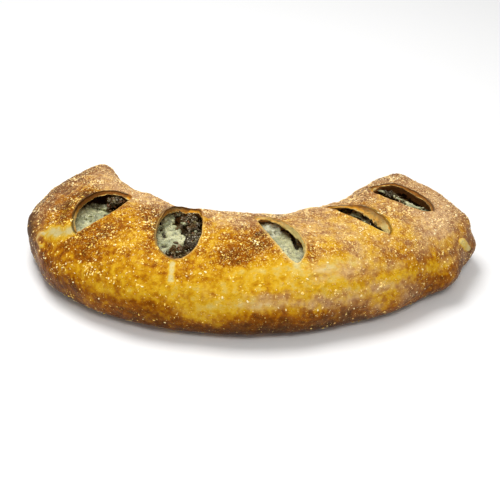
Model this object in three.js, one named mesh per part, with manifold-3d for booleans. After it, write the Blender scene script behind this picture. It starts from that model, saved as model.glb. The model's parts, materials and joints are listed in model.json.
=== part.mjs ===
// A baked meat stromboli: a loaf of pizza dough rolled round meat and melted cheese, bent into
// a crescent and slashed five times across its crown. Millimetres, +Z up. The loaf lies on its
// flat base with its hollow side towards +Y, and the origin is the middle of its bounding box,
// at the base.
//
// The crust is one shell of dough. Its outer and inner skins are rings of points set along the
// loaf, and the rings on each side of a slash are drawn apart, as baking opens a cut. The meat
// runs through the shell from end to end, and a run of melted cheese lies along the meat.
import * as THREE from "three";
import { mergeVertices } from "three/addons/utils/BufferGeometryUtils.js";
import Module from "manifold-3d";

// The crescent in plan: one arc for the outer side and one for the hollow side. Along the loaf,
// u runs from -1 at the left end to 1 at the right end, and both arcs are swept evenly by it.
const OUTER_ARC = { radius: 232.5, centreX: 0, centreY: 0, leftDeg: 50.4, rightDeg: 55.9 };
const INNER_ARC = { radius: 108.6, centreX: 6.1, centreY: -17.7, leftDeg: 84.8, rightDeg: 77.3 };
const SPINE_HALF = 189; // length of the middle line from u = 0 to an end

// The loaf's section: a domed top over a nearly flat base, joined at the widest line.
const CROWN_HEIGHT = 58;
const END_HEIGHT = { left: 41, right: 48.3 };
const WIDEST_HEIGHT = 20;
const DOME_POWER = 2.3;
const BASE_POWER = 3.25;
const BASE_SINK = 1.12; // over 1 presses a flat area into the base

// The ends: where the crown starts to fall, the blunt edge left there, how the base lifts to it,
// and how far each corner is rounded off, as shares of the half width and of the half length.
const END_FALL = 0.26;
const END_EDGE = 6;
const END_POWER = 3.6;
const END_WIDEST = 0.66; // height of the widest line at an end, as a share of the middle's
const END_LIFT = { height: 8, along: 0.06 };
const OUTER_CORNER = { left: { cut: 0.79, along: 0.61 }, right: { cut: 0.355, along: 0.33 } };
const INNER_CORNER = { left: { cut: 0.3, along: 0.11 }, right: { cut: 0.26, along: 0.09 } };

// Thickness of the dough, and the space between it and the filling.
const ROOF = 5;
const WALL = 8;
const FLOOR = 5;
const CAVITY_END = 0.93;
const CAVITY_FALL = 0.14;
const CAVITY_POWER = 2.4;
const CAVITY_CLOSED = 0.97; // under 1 leaves the ends of the cavity blunt
const CAVITY_CLOSING = 5; // a high power leaves the inner rings in place until near the ends
const GAP = 0.6;
const MEAT_END = 0.97; // the meat's share of the cavity's height at its ends

// The five slashes, from left to right. u is where the cut crosses the crown, slant is how far
// its front end lies along the loaf from there, front and back are the angles round the section
// where it ends, and each lip has its widest opening in mm and where that lies, from -1 at the
// front end to 1 at the back. A low power makes the opening round, a high one pointed.
const SLASHES = [
  { u: -0.566, slant: -0.09, front: 52.5, back: 120, left: [28, 0.2], right: [9, 0.25], power: 0.75 },
  { u: -0.219, slant: 0.0185, front: 52.5, back: 135, left: [18, 0], right: [16, -0.1], power: 0.52 },
  { u: 0.1264, slant: 0.129, front: 52.5, back: 120, left: [4, 0], right: [17, 0.15], power: 0.7 },
  { u: 0.4815, slant: 0.2, front: 60, back: 120, left: [0.5, 0.5], right: [20, 0.3], power: 0.7 },
  { u: 0.7657, slant: 0.122, front: 67.5, back: 127.5, left: [12.5, 0.3], right: [15, 0.2], power: 0.5 },
];
const REACH_BASE = 10; // how far from a cut the dough is drawn aside
const REACH_SHARE = 2.2;
const DRAW_POWER = 1.5;
// How far the dough is slid up the front of the crown, as [u, degrees], and the angles between
// which it slides.
const SLIDE = [
  [-0.566, 5.5],
  [-0.219, 4.4],
  [0.1264, 2],
  [0.4815, 7],
  [0.7657, 2],
];
const SLIDES = { from: 5, to: 112 };
const LIP_RISE = 1.6;
const LIP_REACH = 15;

// Slow waves that make the outer skin uneven, as heights in mm.
const UNEVEN = { along: 0.5, aslant: 0.4, round: 0.3 };

// Swells and dents of the outer skin: [u, angle, height, reach in mm, reach in degrees]. They
// are five puffs on the crown, the uneven hollow side, the pinched inner corners of both ends,
// the left end's outer side with its tucked foot, the right end's corners with the lump and the
// notch between them and the fold under it, the flap at the right foot, and three uneven places
// in front.
const SWELLS = [
  [-0.4, 75, 2, 22, 40],
  [-0.05, 70, 2.2, 24, 42],
  [0.3, 72, 2, 20, 40],
  [0.62, 80, 1.6, 16, 40],
  [-0.88, 78, 2.4, 9, 40],
  [-0.66, 140, 2, 9, 24],
  [-0.42, 150, 4, 17, 24],
  [-0.03, 132, 1.8, 26, 22],
  [0.2, 150, -2.2, 14, 26],
  [0.66, 140, 2.4, 14, 24],
  [0.95, 121, 4.5, 7, 13],
  [0.95, 154, -4.5, 9, 16],
  [-0.95, 138, 1.2, 5, 18],
  [-0.93, 34, 2.5, 12, 18],
  [-0.82, 0, -5.5, 12, 16],
  [0.97, 84, 2.5, 6, 16],
  [0.97, 42, 3.5, 8, 14],
  [0.96, 22, -2.5, 4, 8],
  [0.94, 2, 3, 5, 9],
  [0.88, 8, -2.5, 5, 12],
  [0.77, 0, 7, 11, 16],
  [0.52, 0, 3.5, 11, 16],
  [-0.3, 30, 1.6, 26, 26],
  [0.1, 26, 1.4, 24, 24],
  [0.4, 35, 1.2, 20, 22],
];

// Mesh fineness: angles round the top and the base, and the bands of faces from the left end to
// the first slash, from each slash to the next, and from the last one to the right end.
const TOP_STEPS = 24;
const BASE_STEPS = 8;
const BAND_STEPS = [11, 8, 8, 8, 7, 8];
const BAND_CROWDING = 0.55;

// Free height over the meat under the roof, as [u, mm].
const HEADROOM = [
  [-0.9, 4],
  [-0.62, 11.5],
  [-0.4, 7],
  [-0.219, 6.2],
  [0, 7],
  [0.16, 8],
  [0.5, 9],
  [0.74, 14.5],
  [0.9, 4],
];

// The run of cheese on the meat: its ends, its thickness, and its front and back edges as
// [u, degrees round the section]. It is broad under most slashes, and a strand under the right
// half of the second one and under the last.
const CHEESE = { end: 0.84, thick: 3.4, edge: 0.9, gap: 0.45, steps: 44, across: 7 };
const CHEESE_WAVES = { front: 2.5, back: 2.5, lumps: 0.5 }; // degrees, degrees and mm
const CHEESE_CROWN = 0.7; // a low power makes the sheet thick nearly to its edges
const CHEESE_FRONT = [
  [-0.84, 70],
  [-0.66, 50],
  [-0.52, 60],
  [-0.29, 57],
  [-0.2, 80],
  [-0.13, 86],
  [0, 60],
  [0.16, 46],
  [0.5, 54],
  [0.7, 76],
  [0.84, 78],
];
const CHEESE_BACK = [
  [-0.84, 96],
  [-0.66, 112],
  [-0.52, 96],
  [-0.29, 112],
  [-0.2, 104],
  [-0.13, 97],
  [0, 112],
  [0.12, 118],
  [0.5, 112],
  [0.7, 98],
  [0.84, 92],
];

// The meat, and its browned pieces that lie in the slashes beside the cheese.
const MEAT_STEPS = 38;
const MEAT_CROWDING = 1.15; // over 1 crowds its rings towards its ends
const PIECE = { length: [10, 16], width: [7, 10], height: 3.2, sunk: 0.3, uneven: [0.82, 1.12] };
const PIECE_SPACING = 11;
const PIECE_ROWS = 6;
const PIECE_JITTER = 0.6;
const PIECE_CLEAR = 0.6;
const PIECE_SHOWS = 2; // how far under a lip a piece may lie
const PIECE_SEED = 7;

const { clamp, degToRad, lerp, radToDeg, smoothstep } = THREE.MathUtils;
const roundOff = (share, power) => (1 - share ** power) ** (1 / power);
const wave = (x, length, phase) => Math.sin((2 * Math.PI * x) / length + phase);

// Value of a smooth curve through [u, value] pairs.
function along(pairs, u) {
  const last = pairs.length - 1;
  if (u <= pairs[0][0]) return pairs[0][1];
  if (u >= pairs[last][0]) return pairs[last][1];
  const k = pairs.findIndex((pair) => pair[0] > u);
  const [u0, v0] = pairs[k - 1];
  const [u1, v1] = pairs[k];
  return lerp(v0, v1, smoothstep(u, u0, u1));
}

// A point in plan: t is 1 on the outer side of the loaf and -1 on its hollow side.
function planPoint(u, t) {
  const onArc = (arc) => {
    const angle = degToRad(u < 0 ? arc.leftDeg : arc.rightDeg) * u;
    const x = arc.centreX + arc.radius * Math.sin(angle);
    const y = arc.centreY - arc.radius * Math.cos(angle);
    return new THREE.Vector2(x, y);
  };
  return onArc(INNER_ARC).lerp(onArc(OUTER_ARC), (t + 1) / 2);
}

// Direction in plan from the hollow side to the outer side, and half the width between them.
function widthAt(u) {
  const across = planPoint(u, 1).sub(planPoint(u, -1));
  return { half: across.length() / 2, out: across.normalize() };
}

// How far u is into a stretch before the nearer end, from 0 to 1.
const endShare = (u, stretch) => clamp((Math.abs(u) - 1 + stretch) / stretch, 0, 1);

const bySide = (u, pair) => (u < 0 ? pair.left : pair.right);

// Height of the crown, before the ends fall away.
const crown = (u) => lerp(CROWN_HEIGHT, bySide(u, END_HEIGHT), u * u);

// Share of the half width that the rounded corners leave at u, on the side of t.
function cornerShare(u, t) {
  const corner = bySide(u, t < 0 ? INNER_CORNER : OUTER_CORNER);
  return 1 - corner.cut * (1 - roundOff(endShare(u, corner.along), 2));
}

// Place across the loaf of an angle round the section, from -1 to 1.
function lateral(angle, power) {
  const c = Math.cos(angle);
  return Math.sign(c) * Math.abs(c) ** (2 / power);
}

// The rings lean with the slashes, and are square to the loaf at its ends.
const SLANTS = [[-1, 0], ...SLASHES.map((cut) => [cut.u, cut.slant]), [1, 0]];
const slanted = (u, t) => u + along(SLANTS, u) * t;

// Half width of a lip's opening at an angle round the section, as a share of its widest.
function openShare(cut, peak, angle) {
  const share = (2 * (angle - degToRad(cut.front))) / degToRad(cut.back - cut.front) - 1;
  if (Math.abs(share) >= 1) return 0;
  const skewed = share - peak * (1 - share * share);
  return (1 - skewed * skewed) ** cut.power;
}

// What the slashes do to a ring at u: where it is drawn to, and how far it stands up as a lip.
// side tells the two rings of one cut apart.
function drawnAside(u, side, angle) {
  let shift = 0;
  let rise = 0;
  for (const cut of SLASHES) {
    const away = (u - cut.u) * SPINE_HALF;
    const onRight = away > 0 || (away === 0 && side > 0);
    const [open, peak] = onRight ? cut.right : cut.left;
    const reach = REACH_BASE + REACH_SHARE * open;
    const share = openShare(cut, peak, angle);
    const pull = clamp(1 - Math.abs(away) / reach, 0, 1) ** DRAW_POWER * share * open;
    shift += onRight ? pull : -pull;
    rise += LIP_RISE * clamp(1 - Math.abs(away) / LIP_REACH, 0, 1) ** 2 * share;
  }
  return { drawn: u + shift / SPINE_HALF, rise };
}

// Where a row of the dome lies, in radians, once it has been slid up the front of the crown.
function slid(u, angle) {
  const share = clamp((radToDeg(angle) - SLIDES.from) / (SLIDES.to - SLIDES.from), 0, 1);
  return angle + degToRad(along(SLIDE, u)) * Math.sin(Math.PI * share) ** 2;
}

// How far the outer skin stands off the plain form. Slow waves make it uneven, and the
// swells lie on them. Below the widest line it is the relief of that line, fading to nothing.
function relief(u, angle) {
  const s = u * SPINE_HALF;
  const onBase = angle > Math.PI;
  const degrees = onBase ? (Math.cos(angle) > 0 ? 0 : 180) : radToDeg(angle);
  let height = UNEVEN.along * wave(s, 83, degrees / 37);
  height += UNEVEN.aslant * wave(s + degrees, 47, 1.3);
  height += UNEVEN.round * wave(degrees, 71, s / 29);
  for (const [at, middle, rise, length, spread] of SWELLS) {
    const a = ((u - at) * SPINE_HALF) / length;
    const b = (degrees - middle) / spread;
    height += rise * Math.exp(-a * a - b * b);
  }
  return onBase ? height * (1 + Math.sin(angle)) ** 2 : height;
}

// The fall of the cavity's roof towards its ends, which stay blunt.
function cavityFall(u) {
  const share = (Math.abs(u) - CAVITY_END + CAVITY_FALL) / CAVITY_FALL;
  return roundOff(clamp(share, 0, CAVITY_CLOSED), CAVITY_POWER);
}

// A skin is set by how far it lies in from the side, the height of its base and of its top, how
// the top falls towards the ends, and its relief.
const OUTER_SKIN = {
  side: 0,
  base: (u) => END_LIFT.height * (1 - roundOff(endShare(u, END_LIFT.along), 2)),
  top: crown,
  fall: (u) => roundOff(endShare(u, END_FALL), END_POWER),
  relief,
};
const INNER_SKIN = {
  side: WALL,
  base: () => FLOOR,
  top: (u) => crown(u) - ROOF,
  fall: cavityFall,
  relief: () => 0,
};
const MEAT_SKIN = {
  side: WALL + GAP,
  base: () => FLOOR + GAP,
  top: (u) => crown(u) - ROOF - along(HEADROOM, u),
  fall: (u) => cavityFall(u) * MEAT_END,
  relief: () => 0,
};

// A point of a skin at an angle round the section: 0 is the outer side, 90 degrees the crown,
// 180 the hollow side and 270 the base.
function skinPoint(u, angle, skin, rise = 0) {
  const onTop = Math.sin(angle) >= 0;
  const power = onTop ? DOME_POWER : BASE_POWER;
  const across = lateral(angle, power);
  const up = Math.abs(Math.sin(angle)) ** (2 / power);
  const at = slanted(u, across);
  const widest = WIDEST_HEIGHT * lerp(END_WIDEST, 1, roundOff(endShare(at, END_FALL), END_POWER));
  const edge = widest + END_EDGE;
  const base = skin.base(at);
  const top = edge + Math.max(0, skin.top(at) - edge) * skin.fall(at);
  const z = onTop ? lerp(widest, top, up) : Math.max(base, widest - (widest - base) * BASE_SINK * up);
  const { half, out } = widthAt(at);
  const flat = planPoint(at, across * cornerShare(at, across) * (1 - skin.side / half));
  const stand = skin.relief(at, angle) + rise;
  flat.addScaledVector(out, stand * Math.cos(angle));
  return new THREE.Vector3(flat.x, flat.y, z + stand * Math.max(0, Math.sin(angle)));
}

// The rings of the shell. A ring with a side belongs to a slash, and stands there twice.
function ringPlan() {
  const marks = [-1, ...SLASHES.map((cut) => cut.u), 1];
  return BAND_STEPS.flatMap((steps, k) =>
    Array.from({ length: steps + 1 }, (_, i) => {
      const share = i / steps;
      // rings crowd towards the ends of each stretch
      const eased = share - (BAND_CROWDING * Math.sin(2 * Math.PI * share)) / (2 * Math.PI);
      const opensStretch = i === 0 && k > 0;
      const closesStretch = i === steps && k < BAND_STEPS.length - 1;
      return {
        u: lerp(marks[k], marks[k + 1], eased),
        side: opensStretch ? 1 : closesStretch ? -1 : 0,
        cut: SLASHES[opensStretch ? k - 1 : k],
      };
    }),
  );
}

const ANGLES = [
  ...Array.from({ length: TOP_STEPS }, (_, j) => (Math.PI * j) / TOP_STEPS),
  ...Array.from({ length: BASE_STEPS }, (_, j) => Math.PI * (1 + j / BASE_STEPS)),
];

// Collects points and faces, and gives them back as one closed geometry.
class Mesher {
  positions = [];
  faces = [];

  row(points) {
    const first = this.positions.length / 3;
    for (const p of points) this.positions.push(p.x, p.y, p.z);
    return points.map((_, j) => first + j);
  }

  quad(a, b, c, d) {
    this.faces.push(a, b, c, a, c, d);
  }

  // Faces between two neighbouring rows of points. A closed row joins its last point to its
  // first one, and flipped faces look the other way.
  band(a, b, { closed = true, flipped = false } = {}) {
    const count = closed ? a.length : a.length - 1;
    for (let j = 0; j < count; j += 1) {
      const next = (j + 1) % a.length;
      if (flipped) this.quad(a[j], a[next], b[next], b[j]);
      else this.quad(a[j], b[j], b[next], a[next]);
    }
  }

  // Closes an end ring: each step of its base is joined to its share of the top's steps.
  cap(ring, flipped) {
    const stride = TOP_STEPS / BASE_STEPS;
    const face = (a, b, c) => this.faces.push(...(flipped ? [a, c, b] : [a, b, c]));
    const baseAt = (k) => ring[(ring.length - k) % ring.length];
    for (let k = 0; k < BASE_STEPS; k += 1) {
      for (let i = 0; i < stride; i += 1) {
        const t = k * stride + i;
        if (t > 0) face(ring[t], ring[t + 1], baseAt(k));
      }
      if (k < BASE_STEPS - 1) face(ring[(k + 1) * stride], baseAt(k + 1), baseAt(k));
    }
  }

  geometry() {
    const made = new THREE.BufferGeometry();
    made.setAttribute("position", new THREE.Float32BufferAttribute(this.positions, 3));
    made.setIndex(this.faces);
    const merged = mergeVertices(made, 1e-3);
    const index = merged.index.array;
    const kept = [];
    for (let i = 0; i < index.length; i += 3) {
      const [a, b, c] = index.subarray(i, i + 3);
      if (a !== b && b !== c && a !== c) kept.push(a, b, c);
    }
    merged.setIndex(kept);
    return merged;
  }
}

// The shell of dough, with its slashes through the roof and its cavity open to them.
function crustGeometry() {
  const mesher = new Mesher();
  const rings = ringPlan();
  const skinRow = ({ u, side }, skin) =>
    mesher.row(
      ANGLES.map((angle) => {
        const { drawn, rise } = drawnAside(u, side, angle);
        // the cavity is shorter than the loaf, and its rings keep close to those outside it
        const inside = skin === INNER_SKIN;
        const at = inside ? drawn * lerp(1, CAVITY_END, Math.abs(u) ** CAVITY_CLOSING) : drawn;
        return skinPoint(at, slid(u, angle), skin, inside ? 0 : rise);
      }),
    );
  const outer = rings.map((ring) => skinRow(ring, OUTER_SKIN));
  const inner = rings.map((ring) => skinRow(ring, INNER_SKIN));
  const last = rings.length - 1;
  for (let i = 0; i < last; i += 1) {
    if (rings[i].side < 0) continue; // the gap of a slash
    mesher.band(outer[i], outer[i + 1]);
    mesher.band(inner[i], inner[i + 1], { flipped: true });
  }
  mesher.cap(outer[0], false);
  mesher.cap(outer[last], true);
  mesher.cap(inner[0], true);
  mesher.cap(inner[last], false);

  // the cut faces of each slash join the two skins
  rings.forEach(({ side, cut }, i) => {
    if (!side) return;
    for (let j = 0; j < TOP_STEPS; j += 1) {
      if (openShare(cut, 0, ANGLES[j] + Math.PI / TOP_STEPS / 2) === 0) continue;
      const [o0, o1, n0, n1] = [outer[i][j], outer[i][j + 1], inner[i][j], inner[i][j + 1]];
      if (side < 0) mesher.quad(o0, n0, n1, o1);
      else mesher.quad(o0, o1, n1, n0);
    }
  });
  return mesher.geometry();
}

// The meat without its loose pieces: a long bar that fills the shell to below its roof.
function meatCoreGeometry() {
  const mesher = new Mesher();
  const reach = CAVITY_END - (2 * GAP) / SPINE_HALF;
  const rows = Array.from({ length: MEAT_STEPS + 1 }, (_, i) => {
    const share = (2 * i) / MEAT_STEPS - 1;
    const u = Math.sign(share) * (1 - (1 - Math.abs(share)) ** MEAT_CROWDING) * reach;
    return mesher.row(ANGLES.map((angle) => skinPoint(u, angle, MEAT_SKIN)));
  });
  rows.slice(1).forEach((row, i) => mesher.band(rows[i], row));
  mesher.cap(rows[0], false);
  mesher.cap(rows[MEAT_STEPS], true);
  return mesher.geometry();
}

// A repeatable draw between two numbers.
function seededDraw(seed) {
  let state = seed;
  return (low, high) => {
    state = (state * 1664525 + 1013904223) % 4294967296;
    return lerp(low, high, state / 4294967296);
  };
}

// One uneven piece of meat, half sunk in the meat below it.
function pieceGeometry(foot, length, width, draw) {
  const ball = new THREE.IcosahedronGeometry(1, 1);
  ball.deleteAttribute("normal");
  ball.deleteAttribute("uv");
  const piece = mergeVertices(ball, 1e-4);
  const points = piece.getAttribute("position");
  const half = new THREE.Vector3(length / 2, width / 2, PIECE.height);
  const point = new THREE.Vector3();
  for (let i = 0; i < points.count; i += 1) {
    point.fromBufferAttribute(points, i).multiply(half).multiplyScalar(draw(...PIECE.uneven));
    points.setXYZ(i, point.x, point.y, point.z);
  }
  piece.rotateZ(draw(0, Math.PI));
  return piece.translate(foot.x, foot.y, foot.z - PIECE.sunk);
}

// How far a point of the meat at u is from the nearer edge of the cheese.
function cheeseDistance(u, point) {
  const edges = [CHEESE_FRONT, CHEESE_BACK];
  const gaps = edges.map((edge) => point.distanceTo(skinPoint(u, degToRad(along(edge, u)), MEAT_SKIN)));
  return Math.min(...gaps);
}

// Pieces on a jittered grid in each slash, left out under the dough and where the cheese lies.
function pieceGeometries() {
  const draw = seededDraw(PIECE_SEED);
  const jitter = () => draw(-PIECE_JITTER, PIECE_JITTER) / 2;
  const pieces = [];
  for (const cut of SLASHES) {
    const lipLeft = cut.u - cut.left[0] / SPINE_HALF;
    const lipRight = cut.u + cut.right[0] / SPINE_HALF;
    const columns = Math.round(((lipRight - lipLeft) * SPINE_HALF) / PIECE_SPACING) + 1;
    for (let k = 0; k < (columns + 1) * (PIECE_ROWS + 1); k += 1) {
      const across = lerp(lipLeft, lipRight, ((k % (columns + 1)) + jitter()) / columns);
      const row = Math.floor(k / (columns + 1)) + jitter();
      const angle = degToRad(lerp(cut.front, cut.back, row / PIECE_ROWS));
      const [length, width] = [draw(...PIECE.length), draw(...PIECE.width)];
      const [open, peak] = across > cut.u ? cut.right : cut.left;
      const lip = open * openShare(cut, peak, angle) + PIECE_SHOWS;
      const underDough = Math.abs(across - cut.u) * SPINE_HALF > lip;
      const shown = slid(across, angle);
      const foot = skinPoint(across, shown, MEAT_SKIN);
      const degrees = radToDeg(shown);
      const onCheese =
        degrees > along(CHEESE_FRONT, across) && degrees < along(CHEESE_BACK, across);
      const tooNear = cheeseDistance(across, foot) < length / 2 + PIECE_CLEAR;
      if (!underDough && !onCheese && !tooNear) pieces.push(pieceGeometry(foot, length, width, draw));
    }
  }
  return pieces;
}

const wasm = await Module();
wasm.setup();

function toSolid(geometry) {
  const vertProperties = new Float32Array(geometry.getAttribute("position").array);
  const triVerts = new Uint32Array(geometry.index.array);
  return new wasm.Manifold(new wasm.Mesh({ numProp: 3, vertProperties, triVerts }));
}

function fromSolid(solid) {
  const { vertProperties, triVerts } = solid.getMesh();
  const geometry = new THREE.BufferGeometry();
  geometry.setAttribute("position", new THREE.BufferAttribute(vertProperties, 3));
  geometry.setIndex(new THREE.BufferAttribute(triVerts, 1));
  return geometry;
}

// The meat and its loose pieces, joined into one solid.
function meatGeometry() {
  const solids = [meatCoreGeometry(), ...pieceGeometries()].map(toSolid);
  return fromSolid(solids.reduce((all, piece) => all.add(piece)));
}

// The run of melted cheese: a sheet that sags over the meat, thick in the middle, thin at its
// wavy edges, and a little lumpy.
function cheeseGeometry() {
  const mesher = new Mesher();
  const rows = Array.from({ length: CHEESE.steps + 1 }, (_, i) => {
    const u = lerp(-CHEESE.end, CHEESE.end, i / CHEESE.steps);
    const front = along(CHEESE_FRONT, u) + CHEESE_WAVES.front * wave(u, 0.11, 0);
    const back = along(CHEESE_BACK, u) + CHEESE_WAVES.back * wave(u, 0.13, 2);
    const under = Array.from({ length: CHEESE.across + 1 }, (__, j) => {
      const angle = degToRad(lerp(front, back, j / CHEESE.across));
      const point = skinPoint(u, angle, MEAT_SKIN);
      return point.setZ(point.z + CHEESE.gap);
    });
    const over = under.map((point, j) => {
      const inside = Math.sin((Math.PI * j) / CHEESE.across);
      const lumps = CHEESE_WAVES.lumps * wave(u, 0.07, j * 1.9) * inside;
      const thick = lerp(CHEESE.edge, CHEESE.thick, inside ** CHEESE_CROWN) + lumps;
      return point.clone().setZ(point.z + thick);
    });
    return { under: mesher.row(under), over: mesher.row(over) };
  });
  rows.slice(1).forEach((row, i) => {
    const before = rows[i];
    const open = { closed: false };
    const openFlipped = { closed: false, flipped: true };
    mesher.band(before.over, row.over, open);
    mesher.band(before.under, row.under, openFlipped);
    const rim = ({ over, under }, j) => [over[j], under[j]];
    mesher.band(rim(before, 0), rim(row, 0), openFlipped);
    mesher.band(rim(before, CHEESE.across), rim(row, CHEESE.across), open);
  });
  mesher.band(rows[0].over, rows[0].under, { closed: false, flipped: true });
  mesher.band(rows[CHEESE.steps].over, rows[CHEESE.steps].under, { closed: false });
  return mesher.geometry();
}

function part(name, geometry, color, roughness) {
  geometry.computeVertexNormals();
  const material = new THREE.MeshStandardMaterial({ color, roughness, metalness: 0 });
  const mesh = new THREE.Mesh(geometry, material);
  mesh.name = name;
  return mesh;
}

const stromboli = new THREE.Group();
stromboli.add(part("crust", crustGeometry(), 0xb67c32, 0.42));
stromboli.add(part("meat_filling", meatGeometry(), 0x46352a, 0.5));
stromboli.add(part("melted_cheese", cheeseGeometry(), 0xc3c9a4, 0.35));

// The middle of the loaf's box, at its base, becomes the origin.
const box = new THREE.Box3().setFromObject(stromboli);
const middle = box.getCenter(new THREE.Vector3());
stromboli.position.set(-middle.x, -middle.y, -box.min.z);

export default stromboli;
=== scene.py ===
# %% [markdown]
# # A baked meat stromboli
# A stromboli is a loaf of pizza dough rolled round meat and cheese, bent into a crescent and
# slashed across its crown, so that the oven opens the cuts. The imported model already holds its
# three solids: the crust, the meat and the melted cheese. This lesson keeps them as a fixed
# frame, in metres, and dresses them: each solid is copied, refined, given its relief and a
# procedural finish, and the small things that a plain solid can't hold are added on top.

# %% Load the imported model
import json
import math

import bpy
import bmesh
import numpy as np
from mathutils import Matrix, Vector, noise
from mathutils.bvhtree import BVHTree
from mathutils.kdtree import KDTree

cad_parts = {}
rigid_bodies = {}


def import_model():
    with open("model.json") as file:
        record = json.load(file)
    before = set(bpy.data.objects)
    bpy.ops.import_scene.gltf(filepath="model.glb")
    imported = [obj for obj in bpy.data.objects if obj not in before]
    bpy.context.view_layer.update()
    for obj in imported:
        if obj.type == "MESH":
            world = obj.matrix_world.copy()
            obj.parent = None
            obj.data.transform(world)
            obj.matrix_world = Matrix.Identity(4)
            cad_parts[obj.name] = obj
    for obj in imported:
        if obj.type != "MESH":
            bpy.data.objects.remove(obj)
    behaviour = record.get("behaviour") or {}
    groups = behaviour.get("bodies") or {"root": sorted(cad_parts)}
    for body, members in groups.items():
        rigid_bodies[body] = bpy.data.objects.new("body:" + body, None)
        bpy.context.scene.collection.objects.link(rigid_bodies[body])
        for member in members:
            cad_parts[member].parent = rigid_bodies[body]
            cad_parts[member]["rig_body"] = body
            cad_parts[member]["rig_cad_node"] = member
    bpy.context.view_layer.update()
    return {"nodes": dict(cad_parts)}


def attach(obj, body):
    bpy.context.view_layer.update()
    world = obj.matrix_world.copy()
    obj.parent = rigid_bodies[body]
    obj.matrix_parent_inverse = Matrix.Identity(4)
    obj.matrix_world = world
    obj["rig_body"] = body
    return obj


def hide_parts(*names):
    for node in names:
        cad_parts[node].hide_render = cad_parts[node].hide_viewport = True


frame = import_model()
MM = 0.001

# %% [markdown]
# ## Small helpers for work by hand
# Blender's operators act on whatever is selected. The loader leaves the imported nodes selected,
# so every step starts by selecting one piece alone. A dressed piece could be modelled afresh
# over its solid, but a copy keeps the form that was measured, so each one starts as a copy. Its
# loose triangles are merged and paired into quads, which a modifier then smooths evenly.

# %% Selecting, copying and applying
MERGE_WITHIN = 0.01 * MM
QUAD_TURN = math.radians(50)
QUAD_SKEW = math.radians(60)


def select_only(piece):
    bpy.ops.object.select_all(action="DESELECT")
    piece.select_set(True)
    bpy.context.view_layer.objects.active = piece


def merged_copy(node, name):
    """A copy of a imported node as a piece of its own, its loose triangles merged into quads."""
    select_only(frame["nodes"][node])
    bpy.ops.object.duplicate()
    piece = bpy.context.view_layer.objects.active
    piece.name = piece.data.name = name
    piece.parent = None
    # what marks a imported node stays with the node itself
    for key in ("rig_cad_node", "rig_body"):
        del piece[key]
    bpy.ops.object.mode_set(mode="EDIT")
    bpy.ops.mesh.select_all(action="SELECT")
    bpy.ops.mesh.remove_doubles(threshold=MERGE_WITHIN)
    bpy.ops.mesh.customdata_custom_splitnormals_clear()
    bpy.ops.mesh.tris_convert_to_quads(face_threshold=QUAD_TURN, shape_threshold=QUAD_SKEW)
    bpy.ops.object.mode_set(mode="OBJECT")
    piece.data.materials.clear()
    return piece


def apply_modifier(piece, kind, **settings):
    select_only(piece)
    bpy.ops.object.modifier_add(type=kind)
    modifier = piece.modifiers[-1]
    for key, value in settings.items():
        setattr(modifier, key, value)
    bpy.ops.object.modifier_apply(modifier=modifier.name)


def smooth_shaded(piece):
    select_only(piece)
    bpy.ops.object.shade_smooth()


print("left selected by the loader:", [piece.name for piece in bpy.context.selected_objects])

# %% [markdown]
# The points of a mesh could be moved with the brushes of Sculpt Mode. Here they are read as one
# array, moved in code and written back, which is fast enough for a hundred thousand of them and
# makes the same loaf each time. Two things shape most of the changes: soft noise, and a step
# that rises smoothly from 0 to 1.

# %% Reading and moving points
LUMP_FALL = 0.9  # how much weaker each finer layer of the noise is
LUMP_STEP = 2.0  # how much finer it is


def points_of(piece):
    co = np.empty(len(piece.data.vertices) * 3, np.float32)
    piece.data.vertices.foreach_get("co", co)
    return co.reshape(-1, 3).astype(float)


def normals_of(piece):
    vectors = np.empty(len(piece.data.vertices) * 3, np.float32)
    piece.data.vertex_normals.foreach_get("vector", vectors)
    return vectors.reshape(-1, 3).astype(float)


def set_points(piece, points):
    piece.data.vertices.foreach_set("co", points.astype(np.float32).ravel())
    piece.data.update()


def paint(piece, name, values):
    """Keeps one number for each point of a piece, for its material to read."""
    attribute = piece.data.attributes.get(name) or piece.data.attributes.new(name, "FLOAT", "POINT")
    attribute.data.foreach_set("value", np.asarray(values, np.float32))


def bump_field(points, scale, seed=0.0, depth=3):
    """Soft noise, about -1 to 1, at points: scale is the size of its lumps in metres."""
    shift = Vector((seed, 2.3 * seed, -1.7 * seed))
    places = [Vector(p) / scale + shift for p in points]
    return np.array([noise.fractal(place, LUMP_FALL, LUMP_STEP, depth) for place in places])


def smooth_step(value, low, high):
    share = np.clip((value - low) / (high - low), 0, 1)
    return share * share * (3 - 2 * share)


def triangles(piece):
    return sum(len(face.vertices) - 2 for face in piece.data.polygons)


print("a smooth step at 0, 1/4, 1/2 and 1:", smooth_step(np.array([0, 0.25, 0.5, 1]), 0, 1))

# %% [markdown]
# ## Camera
# The photograph looks down on the loaf's outer side at 35 degrees, from about 0.8 m, with a
# short telephoto lens. The angle, the distance and the small roll were fitted to the loaf's
# outline in the photograph. The Standard view transform shows each colour as it is mixed.

# %% Place the camera
VIEW_TARGET = Vector((-1.1, -11.7, 21.5)) * MM
VIEW_DISTANCE = 0.8
VIEW_ELEVATION = math.radians(35)
VIEW_ROLL = math.radians(1.55)
VIEW_LENS = 77.9

camera_data = bpy.data.cameras.new("camera")
camera_data.lens = VIEW_LENS
camera = bpy.data.objects.new("camera", camera_data)
bpy.context.scene.collection.objects.link(camera)
turn = Matrix.Rotation(math.pi / 2 - VIEW_ELEVATION, 4, "X") @ Matrix.Rotation(VIEW_ROLL, 4, "Z")
back = Vector((0, -math.cos(VIEW_ELEVATION), math.sin(VIEW_ELEVATION)))
camera.matrix_world = Matrix.Translation(VIEW_TARGET + back * VIEW_DISTANCE) @ turn
bpy.context.scene.camera = camera
bpy.context.scene.view_settings.view_transform = "Standard"
print("camera at", [round(v, 3) for v in camera.matrix_world.translation])

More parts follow.
